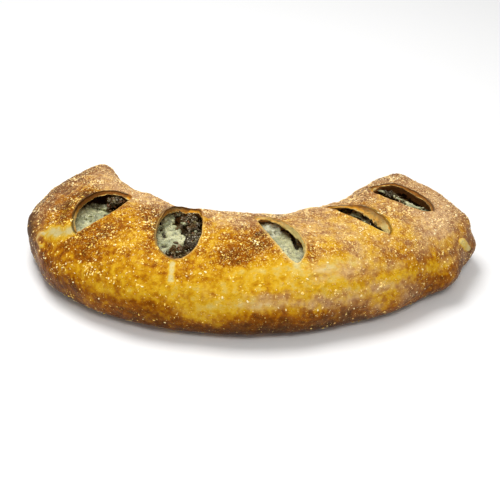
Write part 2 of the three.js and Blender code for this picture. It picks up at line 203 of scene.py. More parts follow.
# %% [markdown]
# Many small things on the loaf are best named by where the photograph shows them. Short calls
# go between the two: one says at which pixel a point is seen, one gives the line of sight
# through a pixel, and one measures how far points are seen from a line on the photograph.

# %% Between points and pixels
PHOTO_SIZE = 500
FOCAL_PIXELS = VIEW_LENS / camera_data.sensor_width * PHOTO_SIZE


def pixels_of(points):
    """Where the photograph shows points: across and down, in pixels."""
    aside, up, backwards = np.array(turn.to_3x3()).T
    away = points - np.array(camera.matrix_world.translation)
    scale = FOCAL_PIXELS / -(away @ backwards)
    return PHOTO_SIZE / 2 + scale * (away @ aside), PHOTO_SIZE / 2 - scale * (away @ up)


def line_of_sight(pixel):
    """The direction in which the camera sees a pixel."""
    x, y = pixel
    half = PHOTO_SIZE / 2
    return turn.to_3x3() @ Vector(((x - half) / FOCAL_PIXELS, (half - y) / FOCAL_PIXELS, -1))


def pixels_from_line(seen, start, end):
    """How far seen points lie from a straight stretch of the photograph, in pixels."""
    run = np.subtract(end, start)
    share = np.clip((seen - start) @ run / (run @ run), 0, 1)
    return np.linalg.norm(seen - start - share[:, None] * run, axis=1)


across, down = pixels_of(np.zeros((1, 3)))
print("the middle of the floor is seen at", round(float(across[0]), 1), round(float(down[0]), 1))

# %% [markdown]
# ## Floor and light
# A plain pale floor and soft light, as in a studio. One large lamp above and a little behind
# gives the oiled crust its broad sheen, a smaller one in front makes the points of light on its
# pimples, and a pale world fills the shadows.

# %% Lay the floor
FLOOR_SIZE = 6.0
bpy.ops.object.select_all(action="DESELECT")
bpy.ops.mesh.primitive_plane_add(size=FLOOR_SIZE, location=(0, 0, 0))
floor = bpy.context.object
floor.name = "floor"
print("floor:", tuple(floor.dimensions))

# %% Hang the lamps
LAMPS = {  # place and width in metres, power in watts, and colour
    "lamp_above": ((-0.25, 0.2, 1.1), 0.6, 10, (1, 1, 1)),
    "lamp_front": ((0.15, -0.7, 1.0), 0.4, 4.5, (1, 0.99, 0.96)),
}
LAMP_AIM = Vector((0, 0, 0.02))
SHADOW_FILL = 0.42
for name, (place, width, power, tint) in LAMPS.items():
    data = bpy.data.lights.new(name, "AREA")
    data.shape = "DISK"
    data.size = width
    data.energy = power
    data.color = tint
    lamp = bpy.data.objects.new(name, data)
    lamp.location = place
    lamp.rotation_euler = (LAMP_AIM - Vector(place)).to_track_quat("-Z", "Y").to_euler()
    bpy.context.scene.collection.objects.link(lamp)
world = bpy.data.worlds.new("studio")
bpy.context.scene.world = world
world.use_nodes = True
sky = world.node_tree.nodes["Background"].inputs
sky["Color"].default_value = (1, 1, 1, 1)
sky["Strength"].default_value = SHADOW_FILL

# %% [markdown]
# ## The loaf's own coordinates
# Patches, wrinkles and slashes follow the loaf, not the room. Any point gets two numbers: u
# runs from -1 at the left end to 1 at the right end, and the angle goes round the section, 0 on
# the outer side, 90 on the crown and 180 on the hollow side. The crescent is swept between two
# arcs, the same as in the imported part, so u is found by halving: the line from the inner to the
# outer arc is turned until the point lies on it.

# %% Find a point's place on the loaf
OUTER_ARC = {"centre": (-13.13 * MM, 135.86 * MM), "radius": 232.5 * MM, "left": 50.4, "right": 55.9}
INNER_ARC = {"centre": (-7.03 * MM, 118.16 * MM), "radius": 108.6 * MM, "left": 84.8, "right": 77.3}
SPINE_HALF = 189 * MM  # along the middle line, from u = 0 to an end
DOME_POWER = 2.3
OUTER_CORNER = {"left": (0.79, 0.61), "right": (0.355, 0.33)}
INNER_CORNER = {"left": (0.3, 0.11), "right": (0.26, 0.09)}
U_SEARCHED = 1.3
HALVINGS = 24


def on_arc(arc, u):
    angle = np.radians(np.where(u < 0, arc["left"], arc["right"])) * u
    x, y = arc["centre"]
    return np.stack([x + arc["radius"] * np.sin(angle), y - arc["radius"] * np.cos(angle)], axis=-1)


def at_end(corner, place, u):
    return np.where(u < 0, corner["left"][place], corner["right"][place])


def corner_share(u, across):
    """How much of the half width the rounded corners leave."""
    cut = np.where(across < 0, at_end(INNER_CORNER, 0, u), at_end(OUTER_CORNER, 0, u))
    along = np.where(across < 0, at_end(INNER_CORNER, 1, u), at_end(OUTER_CORNER, 1, u))
    share = np.clip((np.abs(u) - 1 + along) / along, 0, 0.999)
    return 1 - cut * (1 - np.sqrt(1 - share**2))


def loaf_place(points):
    """u and the angle round the section, in degrees, of points on the dome."""
    plan = np.asarray(points)[:, :2]
    low, high = np.full(len(plan), -U_SEARCHED), np.full(len(plan), U_SEARCHED)
    for _ in range(HALVINGS):
        u = (low + high) / 2
        inner, across = on_arc(INNER_ARC, u), on_arc(OUTER_ARC, u) - on_arc(INNER_ARC, u)
        away = plan - inner
        right = across[:, 0] * away[:, 1] - across[:, 1] * away[:, 0] > 0
        low, high = np.where(right, u, low), np.where(right, high, u)
    share = 2 * np.sum(away * across, axis=1) / np.sum(across**2, axis=1) - 1
    share = np.clip(share / corner_share(u, share), -1, 1)
    return u, np.degrees(np.arccos(np.sign(share) * np.abs(share) ** (DOME_POWER / 2)))


def spot(u, angle, at, reach, spread, turn=0.0):
    """A soft patch, 1 in its middle at (u, degrees), with half sizes in mm and in degrees."""
    a = (u - at[0]) * SPINE_HALF / MM
    b = angle - at[1]
    lean = math.radians(turn)
    along, round_ = a * math.cos(lean) + b * math.sin(lean), b * math.cos(lean) - a * math.sin(lean)
    return np.exp(-((along / reach) ** 2) - (round_ / spread) ** 2)


found_u, found_angle = loaf_place([(0, -40 * MM, 58 * MM)])
print("over the crown: u", round(float(found_u[0]), 2), "angle", round(float(found_angle[0])))

# %% [markdown]
# ## The crust: one shell, its cuts found by their sharp edges
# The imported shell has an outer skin, an inner skin and, in each slash, two strips of cut dough
# that join them. Nothing on the mesh says which faces are which, but each strip meets the skins
# at a sharp edge. So faces are gathered into regions across every edge that turns only gently,
# and the strips are the small regions high on the crown.

# %% Copy the crust and sort its faces
crust = merged_copy("crust", "crust_baked")
RIM_TURN = math.radians(42)


def face_regions(piece, turn):
    """Numbers the regions of faces that an edge sharper than turn bounds."""
    mesh = bmesh.new()
    mesh.from_mesh(piece.data)
    mesh.faces.ensure_lookup_table()
    region = [-1] * len(mesh.faces)
    count = 0
    for seed in mesh.faces:
        if region[seed.index] >= 0:
            continue
        region[seed.index] = count
        queue = [seed]
        while queue:
            face = queue.pop()
            for edge in face.edges:
                if edge.calc_face_angle(math.pi) > turn:
                    continue
                for near in edge.link_faces:
                    if region[near.index] < 0:
                        region[near.index] = count
                        queue.append(near)
        count += 1
    mesh.free()
    return np.array(region)


regions = face_regions(crust, RIM_TURN)
centres = np.array([face.center for face in crust.data.polygons])
sizes = np.bincount(regions)
for number, size in enumerate(sizes):
    middle = centres[regions == number].mean(axis=0)
    print("region", number, "faces", size, "middle mm", [round(float(v) / MM) for v in middle])
print("crust cage faces:", len(crust.data.polygons))

# %% [markdown]
# Each slash gives two strips, a left lip and a right one. Sorted from left to right they come in
# pairs, which also numbers the slashes: the lips of the first one are 2 and 3, and those of the
# last one 10 and 11. Where a cut ends bluntly its last face turns sharply, and is given back to
# the strip that it ends.

# %% Name the lips
CUT_ABOVE = 22 * MM
CUT_FACES_MOST = 60
SCRAP_FACES = 2
FIRST_LIP = 2
outside_region = int(regions[np.argmin(centres[:, 2])])
high_strips = [
    number for number, size in enumerate(sizes)
    if size < CUT_FACES_MOST and centres[regions == number][:, 2].mean() > CUT_ABOVE
]
lip_numbers = [number for number in high_strips if sizes[number] > SCRAP_FACES]


def corners_of(number):
    return {i for face in np.nonzero(regions == number)[0] for i in crust.data.polygons[face].vertices}


for scrap in set(high_strips) - set(lip_numbers):
    shared = [len(corners_of(scrap) & corners_of(number)) for number in lip_numbers]
    regions[regions == scrap] = lip_numbers[int(np.argmax(shared))]
lip_numbers.sort(key=lambda number: centres[regions == number][:, 0].mean())
lip_of = {number: place + FIRST_LIP for place, number in enumerate(lip_numbers)}
# 0 is the inside, 1 the outside, and 2 to 11 are the lips from left to right
face_kind = [lip_of.get(int(number), int(number == outside_region)) for number in regions]
crust.data.attributes.new("region", "INT", "FACE").data.foreach_set("value", face_kind)
print("lips:", len(lip_numbers))

# %% [markdown]
# Subdivision Surface rounds the dough, and would round its cut edges too. So the rims, where a
# strip meets a skin, are creased first, which leaves them crisp.

# %% Crease the rims
RIM_CREASE = 0.6
faces_of_edge = {}
for face in crust.data.polygons:
    for key in face.edge_keys:
        faces_of_edge.setdefault(key, []).append(face_kind[face.index])


def select_none(piece, element):
    """Leaves edit mode with none of a piece's parts selected, and one kind of part chosen."""
    select_only(piece)
    bpy.ops.object.mode_set(mode="EDIT")
    bpy.ops.mesh.select_mode(type=element)
    bpy.ops.mesh.select_all(action="DESELECT")
    bpy.ops.object.mode_set(mode="OBJECT")


select_none(crust, "EDGE")
for edge in crust.data.edges:
    kinds = faces_of_edge[tuple(sorted(edge.vertices))]
    edge.select = bool(max(kinds) >= FIRST_LIP > min(kinds))
bpy.ops.object.mode_set(mode="EDIT")
bpy.ops.transform.edge_crease(value=RIM_CREASE)
bpy.ops.object.mode_set(mode="OBJECT")
print("creased edges:", sum(edge.select for edge in crust.data.edges))

# %% [markdown]
# A crust's relief is about a millimetre fine, so the skin needs many points, but only where it
# is seen. The inside of the shell shows only just under a slash, so it is thinned after the
# smoothing. The lips and the outside, from a little over the floor up, are divided once more.

# %% Smooth the shell, thin its inside and refine its outside
INSIDE_KEPT = 0.05
FINE_ABOVE = 12 * MM
apply_modifier(crust, "SUBSURF", levels=2, render_levels=2)


def face_kinds(piece):
    values = np.empty(len(piece.data.polygons), np.int32)
    piece.data.attributes["region"].data.foreach_get("value", values)
    return values.tolist()


def point_kinds(piece):
    """For each point: whether it touches the inside, the outside, and which lip, or 0."""
    kinds = face_kinds(piece)
    touches = np.zeros((len(piece.data.vertices), 2), bool)
    lip = np.zeros(len(piece.data.vertices), int)
    for face in piece.data.polygons:
        kind = kinds[face.index]
        corners = list(face.vertices)
        if kind < FIRST_LIP:
            touches[corners, kind] = True
        else:
            lip[corners] = kind
    return touches[:, 0], touches[:, 1], lip


inside, outside, lip = point_kinds(crust)
hidden = crust.vertex_groups.new(name="hidden")
hidden.add([int(i) for i in np.nonzero(inside & ~outside & (lip == 0))[0]], 1.0, "REPLACE")
apply_modifier(crust, "DECIMATE", ratio=1 - (1 - INSIDE_KEPT) * inside.mean(), vertex_group="hidden")
kinds = face_kinds(crust)
select_none(crust, "FACE")
for face in crust.data.polygons:
    kind = kinds[face.index]
    face.select = kind >= FIRST_LIP or (kind == 1 and face.center.z > FINE_ABOVE)
bpy.ops.object.mode_set(mode="EDIT")
bpy.ops.mesh.subdivide(number_cuts=1, smoothness=0)
bpy.ops.object.mode_set(mode="OBJECT")
inside, outside, lip = point_kinds(crust)
print("crust:", len(crust.data.vertices), "points,", triangles(crust), "triangles")

# %% [markdown]
# ## Where each point lies
# Everything that follows asks the same things of a point: how far it is from the rim of a cut
# and which lip that rim belongs to, its place on the loaf, and where the photograph shows it.
# They are measured once, on the smooth shell. A patch that is named by its pixels counts only
# where the skin faces the camera, so that nothing is painted through to the back.

# %% Measure the points
FACED_FROM, FACED_FULLY = -0.15, 0.0
points = points_of(crust)


def nearest_of(chosen, points):
    """For each point, how far the nearest chosen one is, and which of them it is."""
    tree = KDTree(len(chosen))
    for place, i in enumerate(chosen):
        tree.insert(points[i], place)
    tree.balance()
    found = [tree.find(p) for p in points]
    return np.array([f[2] for f in found]), np.array([f[1] for f in found])


rim = np.nonzero(outside & (lip > 0))[0]
inner_rim = np.nonzero(inside & (lip > 0))[0]
rim_away, rim_number = nearest_of(rim, points)
inner_away, inner_number = nearest_of(inner_rim, points)
rim_lip = lip[rim][rim_number]
skin = (outside & (lip == 0)).astype(float)
u, angle = loaf_place(points)
across_photo, down_photo = pixels_of(points)
to_camera = np.array(camera.matrix_world.translation) - points
to_camera /= np.linalg.norm(to_camera, axis=1)[:, None]
faced = smooth_step(np.sum(normals_of(crust) * to_camera, axis=1), FACED_FROM, FACED_FULLY)


def seen_patch(at, half, lean=0.0):
    """A soft patch, 1 in its middle, by its pixel, half sizes and lean in the photograph."""
    a, b = across_photo - at[0], down_photo - at[1]
    lean = math.radians(lean)
    along, beside = a * math.cos(lean) + b * math.sin(lean), b * math.cos(lean) - a * math.sin(lean)
    return np.exp(-((along / half[0]) ** 2) - (beside / half[1]) ** 2) * faced


def seen_patches(patches):
    """Patches of the photograph laid over one another, each with its amount."""
    return sum(amount * seen_patch(*where) for amount, *where in patches)


print("rim points:", len(rim), "u from", round(float(u.min()), 3), "to", round(float(u.max()), 3))

# %% [markdown]
# ## The lips
# Where the dough was cut and pulled apart it is drawn thin, and here and there it thickens. A
# Solidify modifier has one thickness for all, so the lips are drawn one by one: each keeps a share
# of its thickness at its back end and at its front end, its points move towards the outer rim,
# and the inside follows, less and less away from the cut. Three lips also lean, as the
# photograph shows them. How far through the dough a point lies, 0 at the outer rim and 1 at the
# inner one, is kept for the colours of the crumb. It goes on to 2 away from the rims.

# %% Draw the lips thin
LIP_KEPT = {  # the share kept at the back end of a lip and at its front end
    2: (0.4, 0.8),
    3: (0.6, 0.6),
    4: (0.6, 0.4),
    5: (0.45, 0.45),
    6: (0.7, 0.7),
    7: (0.4, 0.85),
    8: (0.5, 0.6),
    9: (0.2, 1.15),
    10: (0.5, 0.6),
    11: (0.2, 0.32),
}
LIP_LEAN = {  # how far the inner rim leans at the front end, in mm
    7: (-0.4, -0.4, 0),
    9: (-0.8, -3.0, 0.3),
    11: (-0.3, -1.0, 0),
}
UPRIGHT = (0, 0, 0)
FRONT_END = (90, 112)  # degrees round the section between which a lip changes
DRAWN_REACH = 16 * MM
TORN_SIZE, TORN_SEED, TORN_DEPTH = 3 * MM, 17.0, 0.3
BEYOND_RIM = 4 * MM

across_lip = rim_away / (rim_away + inner_away + 1e-9)
through = np.where(lip > 0, across_lip, 1 + np.clip(inner_away / BEYOND_RIM, 0, 1))
front_end = 1 - smooth_step(angle, *FRONT_END)
kept_back, kept_front = np.array([LIP_KEPT[int(number)] for number in rim_lip]).T
kept = kept_back + (kept_front - kept_back) * front_end
kept *= 1 + TORN_DEPTH * bump_field(points[rim], TORN_SIZE, TORN_SEED)[rim_number]
towards_rim = (points[rim][rim_number] - points) * (1 - kept)[:, None]
lean = np.array([LIP_LEAN.get(int(number), UPRIGHT) for number in rim_lip]) * MM
towards_rim += lean * (np.clip(through, 0, 1) * front_end)[:, None]
follow = (1 - smooth_step(inner_away, 0, DRAWN_REACH)) * (inside & (lip == 0))
following = towards_rim[inner_rim][inner_number] * follow[:, None]
points += np.where((lip > 0)[:, None], towards_rim, following)
set_points(crust, points)
thinned = np.linalg.norm(towards_rim[lip > 0], axis=1)
print("lips thinned by up to", round(float(thinned.max()) / MM, 1), "mm")

# %% [markdown]
# ## Relief of the crust
# A baked crust is never smooth: broad swells, puffs as large as a fingertip, and the pimples of
# fine blisters. A bump map could fake it, but then the outline would stay smooth, so the points
# themselves move along their normals, by noise of three sizes and two kinds of round bump. The
# relief fades out at the rims, so that a lip stays one clean line, and at the base, so that the
# loaf still lies flat.

# %% Raise swells, puffs and pimples
RIM_FADE = (0.3 * MM, 5 * MM)
FLOOR_FADE = (0.5 * MM, 9 * MM)
RELIEF = (  # size, height and seed
    (24 * MM, 0.5 * MM, 3.0),
    (9 * MM, 0.42 * MM, 11.0),
    (3.6 * MM, 0.2 * MM, 17.0),
)
PIMPLES = {"cell": 2.6 * MM, "width": 0.42, "seed": 2.0}
PIMPLE_HEIGHT = 0.4 * MM
PUFFS = {"cell": 15 * MM, "width": 0.45, "seed": 6.0}
PUFF_HEIGHT = 0.9 * MM
CLUSTERS = {"scale": 18 * MM, "seed": 5.0}  # the pimples stand in clusters
RARE_PUFFS = {"scale": 30 * MM, "seed": 8.0}


def domes(points, cell, width, seed):
    """Round bumps, 1 at each top, one for each cell of scattered space."""
    shift = Vector((seed, -seed, 0.5 * seed))
    nearest = [noise.voronoi(Vector(p) / cell + shift)[0][0] for p in points]
    return smooth_step(-np.array(nearest), -width, 0)


fade = skin * smooth_step(rim_away, *RIM_FADE) * smooth_step(points[:, 2], *FLOOR_FADE)
height = np.zeros(len(points))
moved = np.nonzero(fade > 0)[0]
for size, tall, seed in RELIEF:
    height[moved] += tall * bump_field(points[moved], size, seed)
clusters = smooth_step(bump_field(points[moved], **CLUSTERS), -0.25, 0.4)
height[moved] += PIMPLE_HEIGHT * clusters * domes(points[moved], **PIMPLES)
rare = smooth_step(bump_field(points[moved], **RARE_PUFFS), 0.0, 0.5)
height[moved] += PUFF_HEIGHT * rare * domes(points[moved], **PUFFS)
print("relief from", round(height.min() / MM, 2), "to", round(height.max() / MM, 2), "mm")

# %% [markdown]
# Some relief has its own place in the photograph: the wrinkles where the left end was rolled
# up, the burnt creases along the far lips, a ring left by a bubble, the score below the second
# slash that never opened, the pale blister on the right end, and a small curl of dough on the
# left one. Each is a simple form, placed by its u and angle or by its pixels.

# %% Press in the wrinkles, the creases and the ring
END_WRINKLES = {"at": (-0.845, 95), "reach": 15, "spread": 42}
WRINKLES_UP_TO = -0.6
WRINKLE_LENGTH = 5.2 * MM
WRINKLE_HEIGHT = 0.55 * MM
WRINKLE_SLANT = 24  # degrees round the loaf for one radian of the wave
CREASE_DEPTH = {2: 0.9, 4: 0.35, 9: 0.5, 11: 0.8}  # mm, along the far lips
RING = {"u": 0.262, "angle": 38, "radius": 6.5, "half": 1.2, "height": 0.5 * MM}
MM_FOR_A_DEGREE = 0.9

s = u * SPINE_HALF
wrinkle_wave = 2 * np.pi * s / WRINKLE_LENGTH + angle / WRINKLE_SLANT
end_fold = spot(u, angle, *END_WRINKLES.values()) * (u < WRINKLES_UP_TO)
height += WRINKLE_HEIGHT * end_fold * np.sin(wrinkle_wave)
crease_width = (1.6 + 3.0 * smooth_step(angle, 70, 105)) * MM
beside_rim = np.exp(-(((rim_away - 0.9 * crease_width) / (0.6 * crease_width)) ** 2))
for number, depth in CREASE_DEPTH.items():
    height -= depth * MM * beside_rim * (rim_lip == number)
ring_away = np.hypot((u - RING["u"]) * SPINE_HALF / MM, (angle - RING["angle"]) * MM_FOR_A_DEGREE)
height += RING["height"] * np.exp(-(((ring_away - RING["radius"]) / RING["half"]) ** 2))
print("wrinkled points:", int((end_fold > 0.3).sum()))

# %% Press in the score and raise the blister and the curl
SCORE = {"top": (-0.213, 56), "low": (-0.206, 35), "half": 2.1, "depth": 0.7 * MM}
BLISTER = {"start": (462, 241.5), "end": (467, 248), "half": 3.4, "height": 2.2 * MM}
CURL = {"at": (42, 239.5), "half": (4.5, 6.5), "height": 0.7 * MM, "open_from": 45}


def along_score(u, angle):
    """1 along the middle of the score, 0 beside it and past its ends."""
    share = (angle - SCORE["top"][1]) / (SCORE["low"][1] - SCORE["top"][1])
    middle = SCORE["top"][0] + share * (SCORE["low"][0] - SCORE["top"][0])
    across = (u - middle) * SPINE_HALF / MM / SCORE["half"]
    return np.exp(-(across**4)) * smooth_step(share, -0.12, 0.03) * (1 - smooth_step(share, 0.92, 1.05))


score = along_score(u, angle)
height -= SCORE["depth"] * score
photo_places = np.stack([across_photo, down_photo], axis=1)
blister_away = pixels_from_line(photo_places, BLISTER["start"], BLISTER["end"]) / BLISTER["half"]
blister = (blister_away < 1) * faced
height += BLISTER["height"] * faced * np.sqrt(np.clip(1 - blister_away**2, 0, 1))
curl_away = np.linalg.norm((photo_places - CURL["at"]) / CURL["half"], axis=1)
curl = np.exp(-(((curl_away - 1) / 0.3) ** 2)) * faced * (across_photo < CURL["open_from"])
height += CURL["height"] * curl
points += normals_of(crust) * (height * fade)[:, None]
set_points(crust, points)
print("score points:", int((score > 0.5).sum()), "blister points:", int((blister > 0.5).sum()))

# %% [markdown]
# The lips themselves aren't ruled lines either. All points near a rim are pushed about by slow
# noise along the loaf, skin and cut face alike so that they stay together, and the cut faces
# get the torn, porous look of crumb. The front lip of the first slash also curls back over the
# cheese, most at its left.

# %% Roughen the lips
WANDER_FADE = (1 * MM, 9 * MM)
WANDER_SIZE, WANDER_BY = 7 * MM, 0.6 * MM
WANDER_SEEDS = (21.0, 27.0, 33.0)
CURLED_LIP = 3
CURLED_BY = np.array((-0.8, 2.4, 0.3)) * MM
CURLED_COLUMNS = (92, 122)  # pixels across the photograph, fully curled and not at all
TORN_CRUMB = {"scale": 2.2 * MM, "seed": 41.0}
CRUMB_HEIGHT = 0.45 * MM

near = np.nonzero(rim_away < WANDER_FADE[1])[0]
pull = 1 - smooth_step(rim_away[near], *WANDER_FADE)
curled = pull * (rim_lip[near] == CURLED_LIP) * (1 - smooth_step(across_photo[near], *CURLED_COLUMNS))
points[near] += curled[:, None] * CURLED_BY
for axis, seed in enumerate(WANDER_SEEDS):
    points[near, axis] += WANDER_BY * pull * bump_field(points[near], WANDER_SIZE, seed, 2)
set_points(crust, points)
crumb_points = np.nonzero((lip > 0) & ~outside & ~inside)[0]
crumb = bump_field(points[crumb_points], **TORN_CRUMB)
points[crumb_points] += normals_of(crust)[crumb_points] * (CRUMB_HEIGHT * crumb)[:, None]
set_points(crust, points)
smooth_shaded(crust)
print("lip points:", len(near), "crumb points:", len(crumb_points))

# %% [markdown]
# ## How far each place is baked
# The colour of the crust follows the oven and the hand. One number for each point says how far
# the dough is baked: 0 is raw and pale, about 0.35 golden, 0.6 amber, 0.8 brown and 1 burnt. On
# the low front edge and the underside it also carries painted shade. It could be noise alone, but
# this loaf has its own places: the low front edge and the underside are darker than the crown,
# partly browned and partly painted shade, and the ends are browner than the middle. So it starts
# from those broad zones.

# %% Bake and shade the broad zones
EVENLY_BAKED = 0.44
z = points[:, 2]
low = 1 - smooth_step(angle + 0.8 * z / MM, 10, 46)
under = 1 - smooth_step(z, 4 * MM, 17 * MM)
left_end = smooth_step(-u, 0.6, 0.84) * (1 - 0.5 * smooth_step(angle, 100, 130))
left_tip = smooth_step(-u, 0.86, 0.96)
right_end = smooth_step(u, 0.74, 0.9)
back_side = smooth_step(angle, 96, 126)
# the low front edge and the underside are darkened partly as painted shade
ZONES = (  # how much further than evenly each zone is baked
    (0.26, low),
    (0.34, under),
    (0.3, left_end),
    (0.12, left_tip),
    (0.12, right_end),
    (0.1, back_side),
)
bake = EVENLY_BAKED + sum(amount * zone for amount, zone in ZONES)
print("broad zones, baked from", round(float(bake.min()), 2), "to", round(float(bake.max()), 2))

# %% [markdown]
# Then come the patches, first by their place on the loaf and then by where the photograph shows
# them. They could be painted with a brush in Texture Paint, but a picture can't be kept in this
# script, and a list of soft ovals can. Each is a small correction, so they overlap.

# %% Bake the patches that follow the loaf
BAKED_SPOTS = (  # amount, u and degrees of the middle, half sizes in mm and degrees, lean
    # the left end, as far as the first slash
    (0.26, (-0.52, 66), 9, 20),
    (0.18, (-0.6, 26), 24, 14),
    (0.2, (-0.654, 5), 24, 14),
    (-0.46, (-0.72, 51), 9, 9, 10),
    (-0.4, (-0.775, 36), 8, 10),
    (-0.16, (-0.8, 118), 12, 14),
    # from there to the second slash
    (0.1, (-0.33, 69), 7, 8),
    (0.16, (-0.35, 92), 12, 12),
    (0.2, (-0.45, 50), 12, 10),
    (0.16, (-0.35, 2), 30, 8),
    (0.1, (-0.25, 0), 14, 8),
    (0.12, (-0.2, 14), 12, 5),
    (-0.1, (-0.12, 88), 6, 8),
    (-0.12, (-0.37, 74), 10, 8),
    (-0.14, (-0.3, 30), 18, 8),
    # the middle, as far as the third slash
    (0.34, (-0.003, 63), 13, 6, -12),
    (0.2, (-0.02, 78), 16, 12),
    (0.3, (0.096, 86), 5, 11),
    (0.2, (0.15, 108), 10, 10),
    (0.25, (0.262, 68), 4, 10),
    (-0.14, (0.08, 51), 24, 5, 6),
    (-0.2, (0.1, 15), 24, 6),
    (-0.12, (-0.1, 10), 14, 5),
    (-0.14, (0.285, 47), 14, 5),
    (-0.14, (0.05, 100), 14, 6),
    (-0.2, (0.2, 54), 3.5, 4),
    # the right half
    (0.22, (0.35, 0), 16, 7),
    (0.22, (0.657, 10), 8, 14),
    (0.22, (0.644, 28), 8, 12),
    (0.12, (0.72, 34), 10, 12),
    (0.14, (0.55, 46), 8, 8),
    (0.2, (0.55, 106), 12, 12),
    (-0.12, (0.36, 52), 22, 6),
    (-0.1, (0.33, 78), 10, 12),
    (-0.12, (0.52, 84), 12, 12),
)
bake += sum(amount * spot(u, angle, *where) for amount, *where in BAKED_SPOTS)
print("patches on the loaf:", len(BAKED_SPOTS))

# %% Darken the patches that the photograph shows darker, with painted shade along the bottom edge
SEEN_DARKER = (  # amount, then the middle, half sizes in pixels and lean in the photograph
    # the left end and the first slash
    (0.4, (27, 228), (7, 38)),
    (0.26, (44, 204), (20, 6), -42),
    (0.2, (72, 178), (26, 6), -34),
    (0.1, (50, 240), (16, 26)),
    (0.14, (96, 236), (20, 10), -28),
    (0.16, (86, 262), (7, 5)),
    (0.14, (122, 231), (6, 5)),
    (0.16, (105, 308), (26, 7), 16),
    (0.24, (62, 288), (26, 9), 38),
    (0.16, (44, 270), (8, 16)),
    (0.34, (84, 234), (13, 5), -28),
    (0.08, (60, 205), (24, 20), -40),
    (0.2, (68, 246), (9, 8)),
    (0.14, (82, 256), (8, 6)),
    (0.16, (66, 208), (5, 12), 12),
    (0.14, (84, 193), (12, 4), -22),
    (0.12, (78, 248), (16, 6), -20),
    (0.12, (124, 222), (8, 6)),
    (0.12, (36, 206), (5, 8)),
    # round the second slash and in front of it
    (0.26, (150, 211), (9, 8)),
    (0.1, (135, 230), (18, 12)),
    (0.2, (147, 285), (13, 7)),
    (0.14, (138, 284), (8, 6)),
    (0.16, (150, 316), (13, 8)),
    (0.12, (180, 268), (20, 8)),
    (0.14, (172, 322), (16, 8)),
    (0.16, (148, 313), (10, 7)),
    (0.26, (152, 222), (4, 14)),
    (0.12, (208, 225), (4, 20)),
    (0.12, (140, 210), (10, 6)),
    (0.14, (190, 278), (9, 6)),
    (0.12, (146, 277), (9, 5)),
    (0.14, (146, 314), (9, 5)),
    # round the third slash and in front of it
    (0.1, (256, 224), (6, 6)),
    (0.25, (224, 263), (13, 5)),
    (0.18, (250, 222), (9, 6)),
    (0.1, (250, 240), (8, 9)),
    # painted shade along the bottom edge of the loaf, here and in the other low patches
    (0.4, (250, 332), (76, 7)),
    (0.1, (312, 218), (12, 6)),
    (0.12, (306, 298), (9, 5)),
    (0.14, (256, 325), (24, 9)),
    (0.1, (268, 243), (5, 9)),
    (0.12, (256, 240), (8, 8)),
    (0.2, (276, 215), (16, 3)),
    (0.2, (254, 324), (14, 7)),
    (0.12, (234, 264), (8, 6)),
    # the right half
    (0.12, (360, 280), (8, 8)),
    (0.1, (410, 258), (6, 12)),
    (0.26, (335, 320), (30, 8), -14),
    (0.14, (374, 184), (12, 8), -20),
    (0.14, (350, 196), (12, 5), -20),
    (0.12, (402, 254), (14, 10)),
    (0.14, (451, 252), (8, 7)),
    (0.24, (438, 288), (22, 8), -14),
    (0.14, (466, 268), (6, 14), 20),
    (0.12, (460, 240), (8, 6)),
    (0.12, (415, 287), (12, 8)),
    (0.12, (364, 230), (8, 4)),
    (0.16, (344, 254), (10, 7)),
    (0.1, (328, 238), (9, 7)),
)
bake += seen_patches(SEEN_DARKER)
print("darker patches:", len(SEEN_DARKER))

# %% Bake the patches that the photograph shows lighter
SEEN_LIGHTER = (  # the same, taken away
    # the left end and the first slash
    (0.14, (101, 241), (8, 5)),
    (0.14, (124, 266), (6, 5)),
    (0.36, (70, 231), (6, 7)),
    (0.26, (56, 232), (14, 7)),
    (0.12, (94, 265), (9, 8)),
    (0.08, (72, 268), (7, 6)),
    (0.18, (54, 255), (9, 6)),
    (0.2, (68, 230), (6, 9)),
    (0.08, (112, 221), (9, 5)),
    (0.2, (112, 180), (9, 12), -30),
    (0.14, (125, 189), (10, 5), 10),
    (0.12, (99, 240), (6, 5)),
    (0.22, (74, 190), (12, 5), -30),
    (0.1, (105, 170), (6, 12)),
    # round the second slash and in front of it
    (0.1, (213, 243), (8, 6)),
    (0.1, (148, 198), (14, 6), 20),
    (0.1, (212, 241), (8, 6)),
    (0.1, (186, 310), (12, 14)),
    (0.1, (202, 300), (8, 6)),
    (0.06, (186, 292), (10, 8)),
    (0.08, (145, 198), (18, 6), 20),
    (0.14, (205, 286), (10, 6)),
    # round the third slash and in front of it
    (0.12, (223, 218), (9, 7)),
    (0.12, (302, 247), (5, 9)),
    (0.08, (262, 296), (7, 5)),
    (0.08, (228, 288), (10, 6)),
    (0.12, (268, 310), (14, 6)),
    (0.08, (300, 288), (14, 6)),
    (0.08, (220, 220), (10, 10)),
    (0.2, (265, 311), (34, 5)),
    (0.15, (217, 318), (10, 5)),
    (0.08, (270, 272), (42, 16)),
    (0.1, (287, 290), (11, 6)),
    (0.14, (298, 246), (4, 12)),
    # the right half
    (0.12, (405, 294), (16, 10)),
    (0.12, (375, 308), (12, 8)),
    (0.1, (332, 206), (10, 5), -20),
    (0.1, (386, 303), (20, 9), -10),
    (0.08, (434, 273), (9, 6)),
    (0.09, (446, 206), (16, 9), 30),
    (0.1, (462, 214), (6, 8)),
    (0.09, (442, 268), (12, 7)),
    (0.07, (388, 268), (14, 6)),
    (0.08, (400, 206), (8, 4), 20),
    (0.07, (345, 288), (10, 6)),
    (0.06, (372, 306), (8, 5)),
    (0.1, (340, 270), (32, 20)),
    (0.14, (340, 224), (20, 7), 34),
    (0.08, (346, 240), (14, 10)),
    (0.1, (390, 290), (24, 9), -14),
    (0.12, (374, 304), (13, 6)),
    (0.18, (427, 268), (7, 9)),
    (0.2, (440, 214), (18, 13), 20),
    (0.12, (422, 190), (20, 9), 32),
)
bake -= seen_patches(SEEN_LIGHTER)
print("lighter patches:", len(SEEN_LIGHTER))
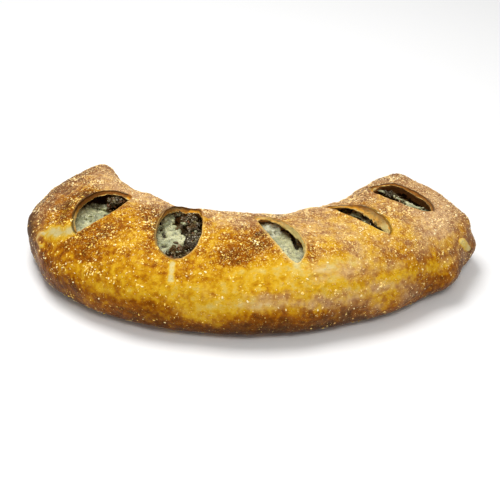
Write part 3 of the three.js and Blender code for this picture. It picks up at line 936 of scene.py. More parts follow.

# %% [markdown]
# Some places are baked by their form. The dough beside the far lip of the first slash is dark
# as far as its front end, a wrinkle is painted darker in its trough as shade, the score and the
# blister stayed pale, and the small curl is pale round a brown middle. The clip at the end keeps
# the skin from turning black, except on the underside, where painted shade may go darker, and
# lets raw dough go a little under 0, so that the noise in the material doesn't brown it.

# %% Bake and shade what its form changes
DARK_BAND = {"lip": 2, "away": 6 * MM, "half": 4.5 * MM, "amount": 0.22}
CURL_MIDDLE = (0.5, CURL["at"], (3, 4))
WRINKLE_SHADE, TROUGH = 0.16, 2.6
LEAST_BAKED, MOST_BAKED, MORE_UNDER = -0.15, 0.72, 0.2

from_band = (rim_away - DARK_BAND["away"]) / DARK_BAND["half"]
beside_lip = np.exp(-(from_band**2)) * (rim_lip == DARK_BAND["lip"])
bake += DARK_BAND["amount"] * beside_lip * front_end
bake += seen_patches((CURL_MIDDLE,)) - 0.4 * curl - 0.5 * score - 0.42 * blister
# painted shade in the troughs of the wrinkles
bake += WRINKLE_SHADE * end_fold * np.sin(wrinkle_wave + TROUGH)
bake = np.clip(bake, LEAST_BAKED, MOST_BAKED + MORE_UNDER * under)
print("baked from", round(float(bake.min()), 2), "to", round(float(bake.max()), 2))

# %% [markdown]
# ## Flour and blisters
# The dough was rolled out on flour, and where it wasn't brushed off it dulls the crust: most on
# the ends and the back ridge. The finest blisters stand mostly on the crown, where the heat was
# strongest, and leave the golden front smooth. Each is one more number for each point, the
# highest of its named places.

# %% Dust the crust with flour
right_face = smooth_step(u, 0.5, 0.8) * smooth_step(angle, 8, 60)
right_crown = smooth_step(u, 0.1, 0.4) * smooth_step(angle, 20, 40)
FLOURED_SPOTS = (  # amount, u and degrees of the middle, half sizes in mm and degrees
    (0.6, (0.3, 95), 40, 30),
    (0.7, (0.006, 104), 30, 16),
    (0.8, (0.6, 4), 12, 10),
    (0.6, (0.39, 2), 24, 9),
    (0.4, (0.126, 22), 20, 10),
    (0.5, (0.34, 16), 70, 14),
)
back_ridge = smooth_step(angle, 84, 118)
left_flour, right_flour = smooth_step(-u, 0.7, 0.88), smooth_step(u, 0.66, 0.8)
zones = [0.7 * back_ridge, 0.7 * left_flour, 0.5 * right_flour, 0.8 * right_face, 0.4 * right_crown]
spots = [amount * spot(u, angle, *where) for amount, *where in FLOURED_SPOTS]
flour = np.maximum.reduce(zones + spots)
raw_patch = spot(u, angle, (-0.72, 48), 16, 16)
flour *= 1 - np.clip(raw_patch + score + blister, 0, 1)
print("floured:", round(float(flour.mean()), 2))

# %% Paint where the skin is blistered
PATCHINESS = {"scale": 14 * MM, "seed": 51.0}
golden_front = spot(u, angle, (0.1, 40), 70, 16)
smooth_front = np.clip((0.3 - bake) * 6 + golden_front + score, 0, 1)
crown = smooth_step(angle, 30, 64)
patchy = smooth_step(bump_field(points, **PATCHINESS), -0.6, 0.3)
flecked = (0.25 + 0.75 * crown * (0.4 + 0.6 * patchy) + 0.3 * flour) * (1 - 0.7 * smooth_front)
flecked = np.clip(flecked * (1 - 0.4 * end_fold), 0, 1) * skin
print("blistered skin:", round(float(flecked.mean()), 2))

# %% [markdown]
# ## Colours of the cut dough
# A lip shows the dough from its browned skin to its pale inside, and each lip was baked in its
# own way: the far ones stood up into the heat and burnt at their rims, and the near ones only
# have a pale line there. Four numbers say how burnt, how browned and how pale the crumb is, and
# how strong that line is.

# %% Burn and brown the lips, and paint shade along the bottom edge
FAR_LIPS = {  # how burnt a lip is at its rim, how far through the dough, and how browned it is all over
    2: (1.0, 0.5, 1.0),
    4: (0.7, 0.35, 0.7),
    7: (0.1, 0.1, 0.0),
    9: (0.9, 0.12, 0.0),
    11: (0.9, 0.4, 0.95),
}
NEAR_LIP = (0.0, 0.1, 0.0)
BROWNED_COLUMNS = (73, 82)  # pixels across the photograph, not browned and fully browned
# burnt dough at the lips and the ends, and painted shade along the bottom edge of the loaf
SEEN_BURNT_AND_SHADE = (  # amount, then the middle, half sizes in pixels and lean in the photograph
    # the left end and the first slash
    (0.34, (60, 232), (17, 8), -10),
    (0.3, (31, 222), (5, 26)),
    (0.22, (66, 182), (14, 5), -34),
    (0.6, (68, 206), (3.5, 8), 20),
    (0.7, (86, 193), (10, 3), -16),
    (0.3, (64, 214), (4, 10), 10),
    (0.7, (26, 228), (9, 38)),
    (0.3, (44, 198), (22, 4), -44),
    (0.3, (80, 172), (28, 4), -30),
    (0.5, (62, 290), (30, 11), 38),
    # round the second slash and in front of it
    (0.5, (150, 319), (36, 10), 10),
    # round the third slash and in front of it
    # painted shade along the bottom edge
    (0.8, (252, 333), (88, 10)),
    # the right half
    (0.2, (396, 174), (10, 3)),
    (0.45, (338, 321), (30, 10), -14),
    (0.35, (438, 290), (22, 8), -14),
    (0.3, (464, 262), (5, 20), 20),
)
SEEN_BURNT_CRUMB = (
    (0.8, (191, 209), (9, 4)),
    (0.5, (178, 208), (8, 3)),
)
SEEN_BROWNED_CRUMB = ((0.8, (355, 205), (9, 4)),)

on_cut = 1 - skin
burn, burn_reach, browned = np.array([FAR_LIPS.get(int(number), NEAR_LIP) for number in rim_lip]).T
burnt = burn * skin * np.exp(-(((rim_away - 0.4 * crease_width) / (0.5 * crease_width)) ** 2))
burnt += burn * on_cut * smooth_step(-through / burn_reach, -1, -0.3)
# on the skin this adds burnt dough and the painted shade along the bottom edge
burnt += seen_patches(SEEN_BURNT_AND_SHADE) * skin + seen_patches(SEEN_BURNT_CRUMB) * on_cut
burnt = np.clip(burnt, 0, 1)
all_but_inner = smooth_step(-through, -0.97, -0.85)
browned = browned * on_cut * all_but_inner * smooth_step(across_photo, *BROWNED_COLUMNS)
browned = np.clip(browned + seen_patches(SEEN_BROWNED_CRUMB) * on_cut, 0, 1)
print("burnt points:", int((burnt > 0.5).sum()), "browned points:", int((browned > 0.5).sum()))

# %% Paint the pale rims and the pale crumb
RIM_LIGHT = {  # half width in mm and strength of the pale line along the outer rim of a lip
    2: (0.6, 0.0),
    3: (0.6, 0.5),
    4: (1.0, 0.9),
    5: (0.8, 0.8),
    6: (1.3, 1.0),
    7: (0.8, 0.5),
    8: (0.7, 0.3),
    9: (0.5, 0.0),
    10: (0.6, 0.4),
    11: (0.5, 0.0),
}
PALE_CRUMB = (  # amount, then the middle and half sizes in the photograph, from left to right
    (1.2, (72, 222), (4, 10)),
    (1.0, (114, 193), (5, 3)),
    (1.3, (159, 238), (6, 18)),
    (1.3, (176, 208), (7, 4)),
    (0.6, (264, 218), (12, 5)),
    (1.3, (295, 240), (18, 20)),
    (1.3, (298, 255), (10, 14)),
    (1.2, (341, 204), (9, 4)),
    (0.3, (370, 216), (12, 7)),
    (1.3, (384, 229), (9, 7)),
    (1.3, (378, 187), (9, 4)),
    (1.3, (429, 206), (9, 6)),
)
rim_width, rim_strength = np.array([RIM_LIGHT[int(number)] for number in rim_lip]).T
front_part = 1 - smooth_step(angle, 84, 112)
rim_light = rim_strength * np.exp(-((rim_away / (rim_width * MM)) ** 2)) * front_part
crumb_pale = np.clip(seen_patches(PALE_CRUMB), 0, 1)
print("pale crumb:", int((crumb_pale * on_cut > 0.5).sum()), "points")

# %% [markdown]
# The skin also carries fine streaks from stretching, along the loaf in its middle and across it
# at the rolled ends. Two more numbers give a flow for them: noise that reads these instead of
# the room's coordinates comes out drawn along the loaf. Then all of the numbers are kept on the
# mesh, as attributes that the material can read.

# %% Paint the flow and keep all the fields
END_STRETCH, MIDDLE_STRETCH = 2.4, 3.2
SECTION_RADIUS = 45 * MM
rolled = smooth_step(np.abs(u), 0.62, 0.8)
fields = {
    "bake": bake,
    "flour": flour,
    "flecked": flecked,
    "burnt": burnt,
    "browned": browned,
    "rim_light": rim_light,
    "crumb_pale": crumb_pale,
    "cut": np.where(skin > 0, 0.0, 1.0),
    "through": through,
    "flow_along": s * (1 + END_STRETCH * rolled),
    "flow_round": np.radians(angle) * SECTION_RADIUS * (MIDDLE_STRETCH - 2.2 * rolled),
}
for name, values in fields.items():
    paint(crust, name, values)
print("painted:", ", ".join(fields))

# %% [markdown]
# ## A kit for materials
# Every finish here is built from nodes. A few short calls add a node, set its values and link
# it, so that a finish reads as a recipe. Colours are named as they look on a screen, and turned
# into the linear values that the shader works in.

# %% Node kit
def srgb(red, green, blue):
    """A colour as it looks on a screen, from 0 to 255, as the shader's linear values."""
    shares = [value / 255 for value in (red, green, blue)]
    return (*(v / 12.92 if v <= 0.04045 else ((v + 0.055) / 1.055) ** 2.4 for v in shares), 1.0)


class Nodes:
    """Adds nodes to one tree. A value is a number, a colour or another node's output."""

    def __init__(self, tree):
        self.tree = tree
        self.count = 0

    def add(self, kind, inputs=None, **settings):
        node = self.tree.nodes.new(kind)
        node.location = (self.count % 8 * 220, -(self.count // 8) * 280)
        self.count += 1
        for key, value in settings.items():
            setattr(node, key, value)
        for key, value in (inputs or {}).items():
            if isinstance(value, bpy.types.NodeSocket):
                self.tree.links.new(value, node.inputs[key])
            else:
                node.inputs[key].default_value = value
        return node

    def field(self, name):
        return self.add("ShaderNodeAttribute", attribute_name=name).outputs["Fac"]

    def noise(self, vector, scale, detail=3.0, roughness=0.55):
        inputs = {"Vector": vector, "Scale": scale, "Detail": detail, "Roughness": roughness}
        return self.add("ShaderNodeTexNoise", inputs).outputs["Fac"]

    def cells(self, vector, scale):
        inputs = {"Vector": vector, "Scale": scale}
        return self.add("ShaderNodeTexVoronoi", inputs).outputs["Distance"]

    def band(self, value, low, high, to_low=0.0, to_high=1.0):
        inputs = {"Value": value, "From Min": low, "From Max": high, "To Min": to_low, "To Max": to_high}
        return self.add("ShaderNodeMapRange", inputs, interpolation_type="SMOOTHSTEP").outputs["Result"]

    def maths(self, operation, a, b, clamp=False):
        return self.add("ShaderNodeMath", {0: a, 1: b}, operation=operation, use_clamp=clamp).outputs[0]

    def mix(self, share, a, b):
        return self.add("ShaderNodeMix", {0: share, 6: a, 7: b}, data_type="RGBA").outputs[2]

    def bump(self, height, strength, distance):
        inputs = {"Height": height, "Strength": strength, "Distance": distance}
        return self.add("ShaderNodeBump", inputs).outputs[0]


print("mid grey, linear:", round(srgb(128, 128, 128)[0], 3))

# %% [markdown]
# Crust, meat and cheese are all mottled, in patches of three sizes. That is one effect in three
# materials, so it is a node group, built once and placed in each with its own size. It reads the
# object's own coordinates, so that the finish stays on the piece.

# %% The shared mottle group
MOTTLE_SIZES = {"Broad": 1.0, "Middle": 3.4, "Fine": 14.0}


def mottle_group():
    group = bpy.data.node_groups.new("mottle", "ShaderNodeTree")
    group.interface.new_socket("Vector", in_out="INPUT", socket_type="NodeSocketVector")
    group.interface.new_socket("Size", in_out="INPUT", socket_type="NodeSocketFloat")
    for name in MOTTLE_SIZES:
        group.interface.new_socket(name, in_out="OUTPUT", socket_type="NodeSocketFloat")
    kit = Nodes(group)
    given = kit.add("NodeGroupInput").outputs
    out = kit.add("NodeGroupOutput")
    for name, share in MOTTLE_SIZES.items():
        scale = kit.maths("MULTIPLY", given["Size"], share)
        group.links.new(kit.noise(given["Vector"], scale), out.inputs[name])
    return group


MOTTLE = mottle_group()


def mottled(kit, size):
    return kit.add("ShaderNodeGroup", {"Vector": kit.place, "Size": size}, node_tree=MOTTLE).outputs


def material(name):
    made = bpy.data.materials.new(name)
    made.use_nodes = True
    made.node_tree.nodes.clear()
    kit = Nodes(made.node_tree)
    kit.surface = kit.add("ShaderNodeBsdfPrincipled")
    out = kit.add("ShaderNodeOutputMaterial")
    made.node_tree.links.new(kit.surface.outputs[0], out.inputs["Surface"])
    kit.place = kit.add("ShaderNodeTexCoord").outputs["Object"]
    return made, kit


def connect(kit, socket, value):
    kit.tree.links.new(value, kit.surface.inputs[socket])


print("node groups:", [group.name for group in bpy.data.node_groups])

# %% [markdown]
# ## The crust's finish
# The painted degree of baking, with its painted shade, broken up by noise, picks a colour between
# raw dough and burnt. A second row of colours is the same dough under flour, duller and pinker.
# Both rows were matched to the photograph, where a mix of two colours came out too red in the
# middle. The cut faces have the colour of crumb: brown near the skin, honey and pale further in.

# %% Colours of the crust
BAKED = [  # how far baked, and the colour
    (0.0, srgb(212, 194, 132)),
    (0.16, srgb(212, 182, 92)),
    (0.36, srgb(214, 166, 32)),
    (0.54, srgb(186, 127, 11)),
    (0.7, srgb(147, 81, 2)),
    (0.86, srgb(112, 58, 2)),
    (1.0, srgb(88, 44, 4)),
]
FLOURED = [
    (0.0, srgb(226, 204, 168)),
    (0.34, srgb(202, 162, 118)),
    (0.6, srgb(158, 112, 72)),
    (0.86, srgb(114, 76, 48)),
    (1.0, srgb(88, 56, 36)),
]
CRUMB = {
    "brown": srgb(140, 86, 36),
    "honey": srgb(236, 163, 42),
    "pale": srgb(242, 222, 146),
    "inside": srgb(220, 146, 76),
}
BURNT_AND_SHADE = srgb(46, 24, 6)
LIGHT_THROUGH_DOUGH = srgb(40, 23, 8)
FLECK_AND_GLINT = {"yellow": srgb(255, 220, 100), "cream": srgb(250, 220, 160)}


def colours_between(kit, value, stops):
    """A row of colours from 0 to 1, picked by a value."""
    ramp = kit.add("ShaderNodeValToRGB", {"Fac": value})
    row = ramp.color_ramp.elements
    row[0].color, row[1].color = stops[0][1], stops[-1][1]
    for at, colour in stops[1:-1]:
        row.new(at).color = colour
    return ramp.outputs["Color"]


print("rows of colours:", len(BAKED), "and", len(FLOURED))

# %% Mix the colour of the crumb
def crumb_colour(kit, mottle):
    torn = kit.band(mottle["Fine"], 0.3, 0.7, -0.12, 0.12)
    through = kit.maths("ADD", kit.field("through"), torn)
    baked = kit.mix(kit.band(through, 0.2, 0.75), CRUMB["brown"], CRUMB["honey"])
    baked = kit.mix(kit.band(through, 0.84, 0.96, 0, 0.8), baked, CRUMB["pale"])
    pale = kit.mix(kit.band(through, 0.0, 0.2), CRUMB["honey"], CRUMB["pale"])
    crumb = kit.mix(kit.field("crumb_pale"), baked, pale)
    crumb = kit.mix(kit.field("browned"), crumb, CRUMB["brown"])
    crumb = kit.mix(kit.band(mottle["Fine"], 0.5, 0.72, 0, 0.45), crumb, CRUMB["brown"])
    return kit.mix(kit.band(through, 1.0, 1.2), crumb, CRUMB["inside"])


MOTTLE_SCALE = 30.0
crust_finish, kit = material("crust_glazed")
mottle = mottled(kit, MOTTLE_SCALE)
crumb = crumb_colour(kit, mottle)
print("crumb:", len(crust_finish.node_tree.nodes), "nodes")

# %% [markdown]
# Noise of six sizes breaks up the baking, from patches of a few centimetres to the grain of
# single blisters, since a real crust is uneven at every size. The pale flecks are partly blisters
# that burst and dried pale and partly painted glints: the peaks of the finest grain, only where
# the skin was painted as blistered.

# %% Mix the colour of the skin
STREAK_SCALE = 60.0
DAPPLE_SCALE = 230.0
GRAIN_SCALE = 840.0
flow = kit.add("ShaderNodeCombineXYZ", {"X": kit.field("flow_along"), "Y": kit.field("flow_round")})
streak = kit.noise(flow.outputs[0], STREAK_SCALE, 4.0)
grain = kit.noise(kit.place, GRAIN_SCALE, 2.0, 0.6)
dapple = kit.noise(kit.place, DAPPLE_SCALE, 2.0, 0.5)
baked_and_shaded_here = kit.field("bake")
for unevenness in (
    kit.band(mottle["Broad"], 0.32, 0.68, -0.07, 0.07),
    kit.band(mottle["Middle"], 0.32, 0.68, -0.08, 0.08),
    kit.band(streak, 0.32, 0.68, -0.05, 0.05),
    kit.band(mottle["Fine"], 0.32, 0.68, -0.06, 0.06),
    kit.band(dapple, 0.34, 0.66, -0.08, 0.08),
    kit.maths("MULTIPLY", kit.band(grain, 0.36, 0.56, 0.15, 0.04), kit.field("flecked")),
):
    baked_and_shaded_here = kit.maths("ADD", baked_and_shaded_here, unevenness)
dusted = kit.maths("ADD", kit.field("flour"), kit.band(mottle["Middle"], 0.3, 0.7, -0.2, 0.2))
plain = colours_between(kit, baked_and_shaded_here, BAKED)
floured = colours_between(kit, baked_and_shaded_here, FLOURED)
colour = kit.mix(kit.band(dusted, 0.1, 0.8), plain, floured)
# pale flecks: burst blisters, and painted glints
fleck = kit.maths("MULTIPLY", kit.band(grain, 0.61, 0.67, 0.0, 0.95), kit.field("flecked"), True)
colour = kit.mix(fleck, colour, kit.mix(kit.field("flour"), FLECK_AND_GLINT["yellow"], FLECK_AND_GLINT["cream"]))
colour = kit.mix(kit.maths("MULTIPLY", kit.field("rim_light"), 0.6, True), colour, CRUMB["pale"])
colour = kit.mix(kit.field("cut"), colour, crumb)
# burnt dough, and painted shade along the bottom edge
colour = kit.mix(kit.maths("MULTIPLY", kit.field("burnt"), 0.85, True), colour, BURNT_AND_SHADE)
connect(kit, "Base Color", colour)
print("crust colour:", len(crust_finish.node_tree.nodes), "nodes")

# %% [markdown]
# What is finer than the mesh is left to a bump: the smallest pimples and the grain of the skin.
# The skin has a low, warm gloss, as of oil on dough, rougher under flour and on the cut faces.
# Light comes through the thin dough into the hollow, which a closed shell of triangles can't
# show, so the inside of the shell glows very faintly.

# %% Give the crust its gloss
PIMPLE_SCALE = 640.0
pimples = kit.cells(kit.place, PIMPLE_SCALE)
relief = kit.maths("ADD", kit.band(pimples, 0.5, 0.0, 0, 0.6), kit.maths("MULTIPLY", grain, 0.8))
connect(kit, "Normal", kit.bump(relief, 0.8, 0.6 * MM))
matt = kit.maths("ADD", kit.field("flour"), kit.field("cut"))
connect(kit, "Roughness", kit.band(matt, 0, 1, 0.36, 0.55))
glow = kit.maths("MULTIPLY", kit.band(kit.field("through"), 1.0, 1.3), kit.field("cut"))
connect(kit, "Emission Color", kit.mix(glow, (0, 0, 0, 1), LIGHT_THROUGH_DOUGH))
kit.surface.inputs["Emission Strength"].default_value = 1.0
kit.surface.inputs["IOR"].default_value = 1.18
kit.surface.inputs["Specular Tint"].default_value = (1.0, 0.62, 0.22, 1.0)
crust.data.materials.append(crust_finish)
print("crust finish:", len(crust_finish.node_tree.nodes), "nodes")

# %% [markdown]
# ## Many small solids as one mesh
# Flakes, grains, lumps of cheese and pale specks, the last partly fat and partly painted glints,
# are each one small shape that is laid down many times. An object for each would be too many, and
# particles wouldn't be kept as a mesh, so they are joined from arrays into one mesh, each copy
# with its own turn, size and tone.

# %% Lay down copies of a small shape
UP = np.array([0.0, 0.0, 1.0])
# the least solid there is: a flat triangle with a low peak
PEAK = (
    np.array([(1, 0, -0.4), (-0.6, 0.8, -0.4), (-0.6, -0.8, -0.4), (0, 0, 1)], float),
    np.array([(0, 2, 1), (0, 1, 3), (1, 2, 3), (2, 0, 3)]),
)
TILT = 0.2
STRETCH = (0.65, 1.35)


def small_ball(subdivisions):
    bpy.ops.object.select_all(action="DESELECT")
    bpy.ops.mesh.primitive_ico_sphere_add(subdivisions=subdivisions, radius=1.0, location=(0, 0, 0))
    model = bpy.context.object
    shape = points_of(model), np.array([list(face.vertices) for face in model.data.polygons])
    bpy.data.objects.remove(model)
    return shape


def laid_down(name, shape, place, normal, proportions, sizes, seed):
    """Lays one small shape flat at every place, turned at random, as one mesh."""
    draw = np.random.default_rng(seed)
    corners, faces = shape
    upright = normal + draw.normal(0, TILT, place.shape)
    upright /= np.linalg.norm(upright, axis=1)[:, None]
    along = np.cross(upright, draw.normal(size=place.shape))
    along /= np.linalg.norm(along, axis=1)[:, None]
    axes = np.stack([along, np.cross(upright, along), upright], axis=1)
    stretch = draw.uniform(*STRETCH, (len(place), 1, 3)) * sizes[:, None, None] * np.array(proportions)
    all_corners = np.einsum("nij,njk->nik", corners[None] * stretch, axes) + place[:, None]
    all_faces = faces[None] + (np.arange(len(place)) * len(corners))[:, None, None]
    mesh = bpy.data.meshes.new(name)
    mesh.from_pydata(all_corners.reshape(-1, 3).tolist(), [], all_faces.reshape(-1, 3).tolist())
    piece = bpy.data.objects.new(name, mesh)
    bpy.context.scene.collection.objects.link(piece)
    paint(piece, "tone", np.repeat(draw.uniform(0, 1, len(place)), len(corners)))
    return piece


COARSE_BALL, FINE_BALL = small_ball(1), small_ball(2)
print("faces of the small shapes:", [len(shape[1]) for shape in (PEAK, COARSE_BALL, FINE_BALL)])

# %% [markdown]
# ## The meat
# The filling is chopped and browned meat, packed into a bar, and it only shows inside the
# slashes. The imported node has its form. Its triangles are long and uneven, so a voxel remesh
# gives the copy square faces of one size, and then noise can break its surface into crumbs.

# %% Break up the bar of meat
MEAT_VOXEL = 1.7 * MM
MINCE = {"cell": 5.5 * MM, "width": 0.55, "seed": 3.0}
FINE_MINCE = {"cell": 2.8 * MM, "width": 0.5, "seed": 9.0}
MEAT_LUMPS = {"scale": 9 * MM, "seed": 13.0}
MINCE_HEIGHT, FINE_MINCE_HEIGHT, LUMP_HEIGHT = 1.1, 0.55, 0.7  # mm
MEAT_SETTLED = 1.3  # mm that the whole surface goes down, to keep its crumbs near the solid's own

meat = merged_copy("meat_filling", "meat_bar")
apply_modifier(meat, "REMESH", mode="VOXEL", voxel_size=MEAT_VOXEL)
meat_points = points_of(meat)
mince = MINCE_HEIGHT * domes(meat_points, **MINCE)
fine_mince = FINE_MINCE_HEIGHT * domes(meat_points, **FINE_MINCE)
lumps = LUMP_HEIGHT * bump_field(meat_points, **MEAT_LUMPS)
meat_points += normals_of(meat) * ((mince + fine_mince + lumps - MEAT_SETTLED) * MM)[:, None]
set_points(meat, meat_points)
smooth_shaded(meat)
print("meat:", triangles(meat), "triangles")

# %% [markdown]
# Loose pieces lie on the bar in the openings: crumbs of mince and short torn strips. Modelling
# hundreds one by one would take days, and one shape for all would show, so four kinds are
# modelled, each from an icosphere that is stretched, roughened and smoothed a little.

# %% Model four pieces of meat
def meat_piece(name, seed, stretch, rough):
    bpy.ops.object.select_all(action="DESELECT")
    bpy.ops.mesh.primitive_ico_sphere_add(subdivisions=3, radius=1.0, location=(0, 0, 0))
    piece = bpy.context.object
    piece.name = name
    bpy.ops.object.mode_set(mode="EDIT")
    bpy.ops.mesh.select_all(action="SELECT")
    bpy.ops.transform.resize(value=stretch)
    bpy.ops.transform.vertex_random(offset=rough, uniform=0.2, normal=0.8, seed=seed)
    bpy.ops.mesh.vertices_smooth(factor=0.5, repeat=1)
    bpy.ops.object.mode_set(mode="OBJECT")
    return piece


KINDS = [
    meat_piece("crumb_round", 1, (1.0, 0.85, 0.7), 0.32),
    meat_piece("crumb_long", 2, (1.7, 0.75, 0.6), 0.34),
    meat_piece("strip_torn", 3, (2.2, 0.6, 0.4), 0.3),
    meat_piece("crumb_flat", 4, (1.3, 1.1, 0.45), 0.36),
]
print("kinds of piece:", [piece.name for piece in KINDS], triangles(KINDS[0]), "triangles each")

# %% [markdown]
# ## The cheese
# The melted cheese is a sheet that sagged over the meat. Its copy is remeshed finely, since
# what makes it cheese is small: bubbles that burst and left pits, a skin that wrinkles where it
# set, and a smooth stretch where it flowed. Only its upper side is shaped.

# %% Bubble the cheese
CHEESE_VOXEL = 1.0 * MM
BUBBLES = {"cell": 3.4 * MM, "width": 0.5, "seed": 7.0}
PITS = {"cell": 6.5 * MM, "width": 0.3, "seed": 19.0}
SMOOTH_FLOW = {"scale": 24 * MM, "seed": 4.0, "depth": 2}
FOLDS = {"scale": 6 * MM, "seed": 15.0}
FINE_FOLDS = {"scale": 2.4 * MM, "seed": 25.0}
BUBBLE_HEIGHT, PIT_DEPTH, FOLD_HEIGHT, FINE_FOLD_HEIGHT = 0.8, 1.6, 0.6, 0.3  # mm

cheese = merged_copy("melted_cheese", "cheese_sheet")
apply_modifier(cheese, "REMESH", mode="VOXEL", voxel_size=CHEESE_VOXEL)
apply_modifier(cheese, "SMOOTH", factor=0.5, iterations=2)
sheet = points_of(cheese)
facing_up = smooth_step(normals_of(cheese)[:, 2], 0.2, 0.8)
smooth_flow = smooth_step(bump_field(sheet, **SMOOTH_FLOW), 0.05, 0.35)
bubbles = domes(sheet, **BUBBLES) * (1 - 0.85 * smooth_flow)
pits = domes(sheet, **PITS) * (1 - smooth_flow)
folds = FOLD_HEIGHT * bump_field(sheet, **FOLDS) + FINE_FOLD_HEIGHT * bump_field(sheet, **FINE_FOLDS)
lift = (BUBBLE_HEIGHT * bubbles - PIT_DEPTH * pits + folds) * MM
cheese_points = sheet + normals_of(cheese) * (lift * facing_up)[:, None]
print("cheese lifted from", round(lift.min() / MM, 1), "to", round(lift.max() / MM, 1), "mm")

# %% [markdown]
# In places the sheet sank away from a lip or split, and the photograph shows a dark gap there.
# Cutting holes would leave torn edges, so each gap is a short line in the photograph, and the
# points seen near it are let down by a few millimetres and painted darker, as painted shade.

# %% Sink the cheese where it split
SAGS = (  # a line in the photograph, half width in pixels, depth in mm
    ((79, 205), (92, 203), 3.0, 6),
    ((161, 228), (165, 236), 2.4, 4),
    ((163, 245), (166, 246), 2.4, 4),
    ((169, 256), (174, 249), 4.5, 6),
    ((178, 249), (186, 243), 2.2, 4),
    ((183, 232), (190, 228), 3.0, 5),
    ((285, 226), (290, 232), 2.4, 3),
    ((291, 232), (297, 247), 2.6, 4),
)
seen_sheet = np.stack(pixels_of(sheet), axis=1)
sunk = np.zeros(len(sheet))
for start, end, half, depth in SAGS:
    away = pixels_from_line(seen_sheet, start, end)
    sunk = np.maximum(sunk, depth * smooth_step(-away, -half, -0.5 * half))
cheese_points[:, 2] -= sunk * MM
set_points(cheese, cheese_points)
# the pits, and the sunk gaps as painted shade, are kept as one number for a darker colour
paint(cheese, "pit", np.clip(pits + sunk / 4, 0, 1) * facing_up)
smooth_shaded(cheese)
print("cheese:", triangles(cheese), "triangles,", int((sunk > 1).sum()), "points sunk")

# %% [markdown]
# ## Placing what the photograph shows
# Some crumbs of meat and bits of cheese are placed by where they are seen. A ray from the camera
# through that pixel finds where it lands on the filling, so each piece rests on what carries it
# and looks right from any side. What the near lips hide is placed by its u and angle instead.

# %% Cast rays to the filling
ABOVE_FILLING = 52 * MM
DOWN = Vector((0, 0, -1))


def shape_tree(*pieces):
    corners, faces = [], []
    for piece in pieces:
        first = len(corners)
        corners += [v.co.copy() for v in piece.data.vertices]
        faces += [[first + i for i in face.vertices] for face in piece.data.polygons]
    return BVHTree.FromPolygons(corners, faces)


def seen_at(pixel, target):
    """Where a line of sight through a pixel lands, and the normal there."""
    return target.ray_cast(camera.matrix_world.translation, line_of_sight(pixel))[:2]


def lying_at(u, angle, target):
    """Where the filling's top is below a place on the loaf, and the normal there."""
    across = np.sign(np.cos(angle)) * abs(np.cos(angle)) ** (2 / DOME_POWER)
    u = np.array([u])
    share = (across * corner_share(u, np.array([across]))[0] + 1) / 2
    plan = on_arc(INNER_ARC, u)[0] * (1 - share) + on_arc(OUTER_ARC, u)[0] * share
    return target.ray_cast(Vector((plan[0], plan[1], ABOVE_FILLING)), DOWN)[:2]


def seen_at_height(pixel, height):
    """Where a line of sight through a pixel comes down to a height over the floor."""
    aim, start = line_of_sight(pixel), camera.matrix_world.translation
    return start + aim * ((height - start.z) / aim.z)


def drawn_pixel(draw, middle, half):
    """A pixel drawn evenly over an oval of the photograph."""
    turned, far = draw.uniform(0, 2 * math.pi), math.sqrt(draw.uniform(0, 1))
    return middle[0] + half[0] * far * math.cos(turned), middle[1] + half[1] * far * math.sin(turned)


landed, _ = seen_at((170, 235), shape_tree(meat, cheese))
print("the second slash shows cheese at", [round(v / MM) for v in landed], "mm")

# %% [markdown]
# The sheet isn't all of the cheese. In the slashes it stands in bubbling heaps and hangs in
# strings from lip to lip. Such a shape could be sculpted, but it is one of many balls that ran
# together, so it is made like that: balls in the heaps and along the strings, melted into one
# skin by a voxel remesh.

# %% Write down the heaps and strings of cheese
HEAPS = (  # middle and half size in the photograph, balls, height of their top over the floor in mm
    ((271, 227), (9, 6), 110, 49.5),
    ((279, 236), (6, 5), 50, 47.5),
    ((84, 218), (10, 6), 50, 39.5),
    ((95, 206), (9, 3), 30, 38.5),
    ((106, 207), (5, 3), 24, 40),
    ((168, 220), (6, 6), 70, 47),
    ((177, 213), (5, 3), 30, 47),
    ((187, 222), (6, 3), 30, 48.5),
    ((162, 230), (4, 6), 30, 46),
    ((196, 230), (2.5, 6), 16, 48),
    ((180.5, 250), (4.5, 3.2), 30, 47),
    ((165, 250), (3.5, 4), 20, 44.5),
    ((356, 215), (5, 2.5), 24, 46),
    ((369, 223), (6, 2.5), 28, 45.5),
)
STRINGS = (  # points in the photograph, each with its height over the floor in mm, and the half width
    (
        ((377, 190, 45), (385, 192, 44), (393, 196, 43.5), (401, 200, 43.5), (411, 205, 44), (420, 209, 45)),
        1.0,
    ),
    (((384, 193, 42), (392, 192, 44), (398, 197, 42), (405, 204, 42)), 0.7),
    (((400, 204, 43), (408, 208, 42), (424, 208, 45)), 0.8),
    (((283, 221, 51), (286, 228, 49), (290, 236, 47)), 0.45),
    (((81, 205, 47), (78, 212, 44), (76, 217, 40)), 0.35),
    (((163, 216, 48), (169, 219, 45), (177, 214, 46)), 0.6),
    (((352, 214, 46), (363, 219, 44), (376, 227, 43)), 0.6),
)
print("heaps:", len(HEAPS), "strings:", len(STRINGS), "balls in heaps:", sum(heap[2] for heap in HEAPS))

# %% Heap up the cheese
CHEESE_BALL = (0.8 * MM, 1.9 * MM)
HEAP_DEPTH = (0.5, 4.0)  # mm below the top of a heap
HEAP_VOXEL = 0.7 * MM
STRING_STEP, STRING_SWAY = 0.4, 0.12  # as shares of the half width
PORES = {"cell": 2.6 * MM, "width": 0.4, "seed": 23.0}
HEAP_SKIN = {"scale": 2 * MM, "seed": 29.0}


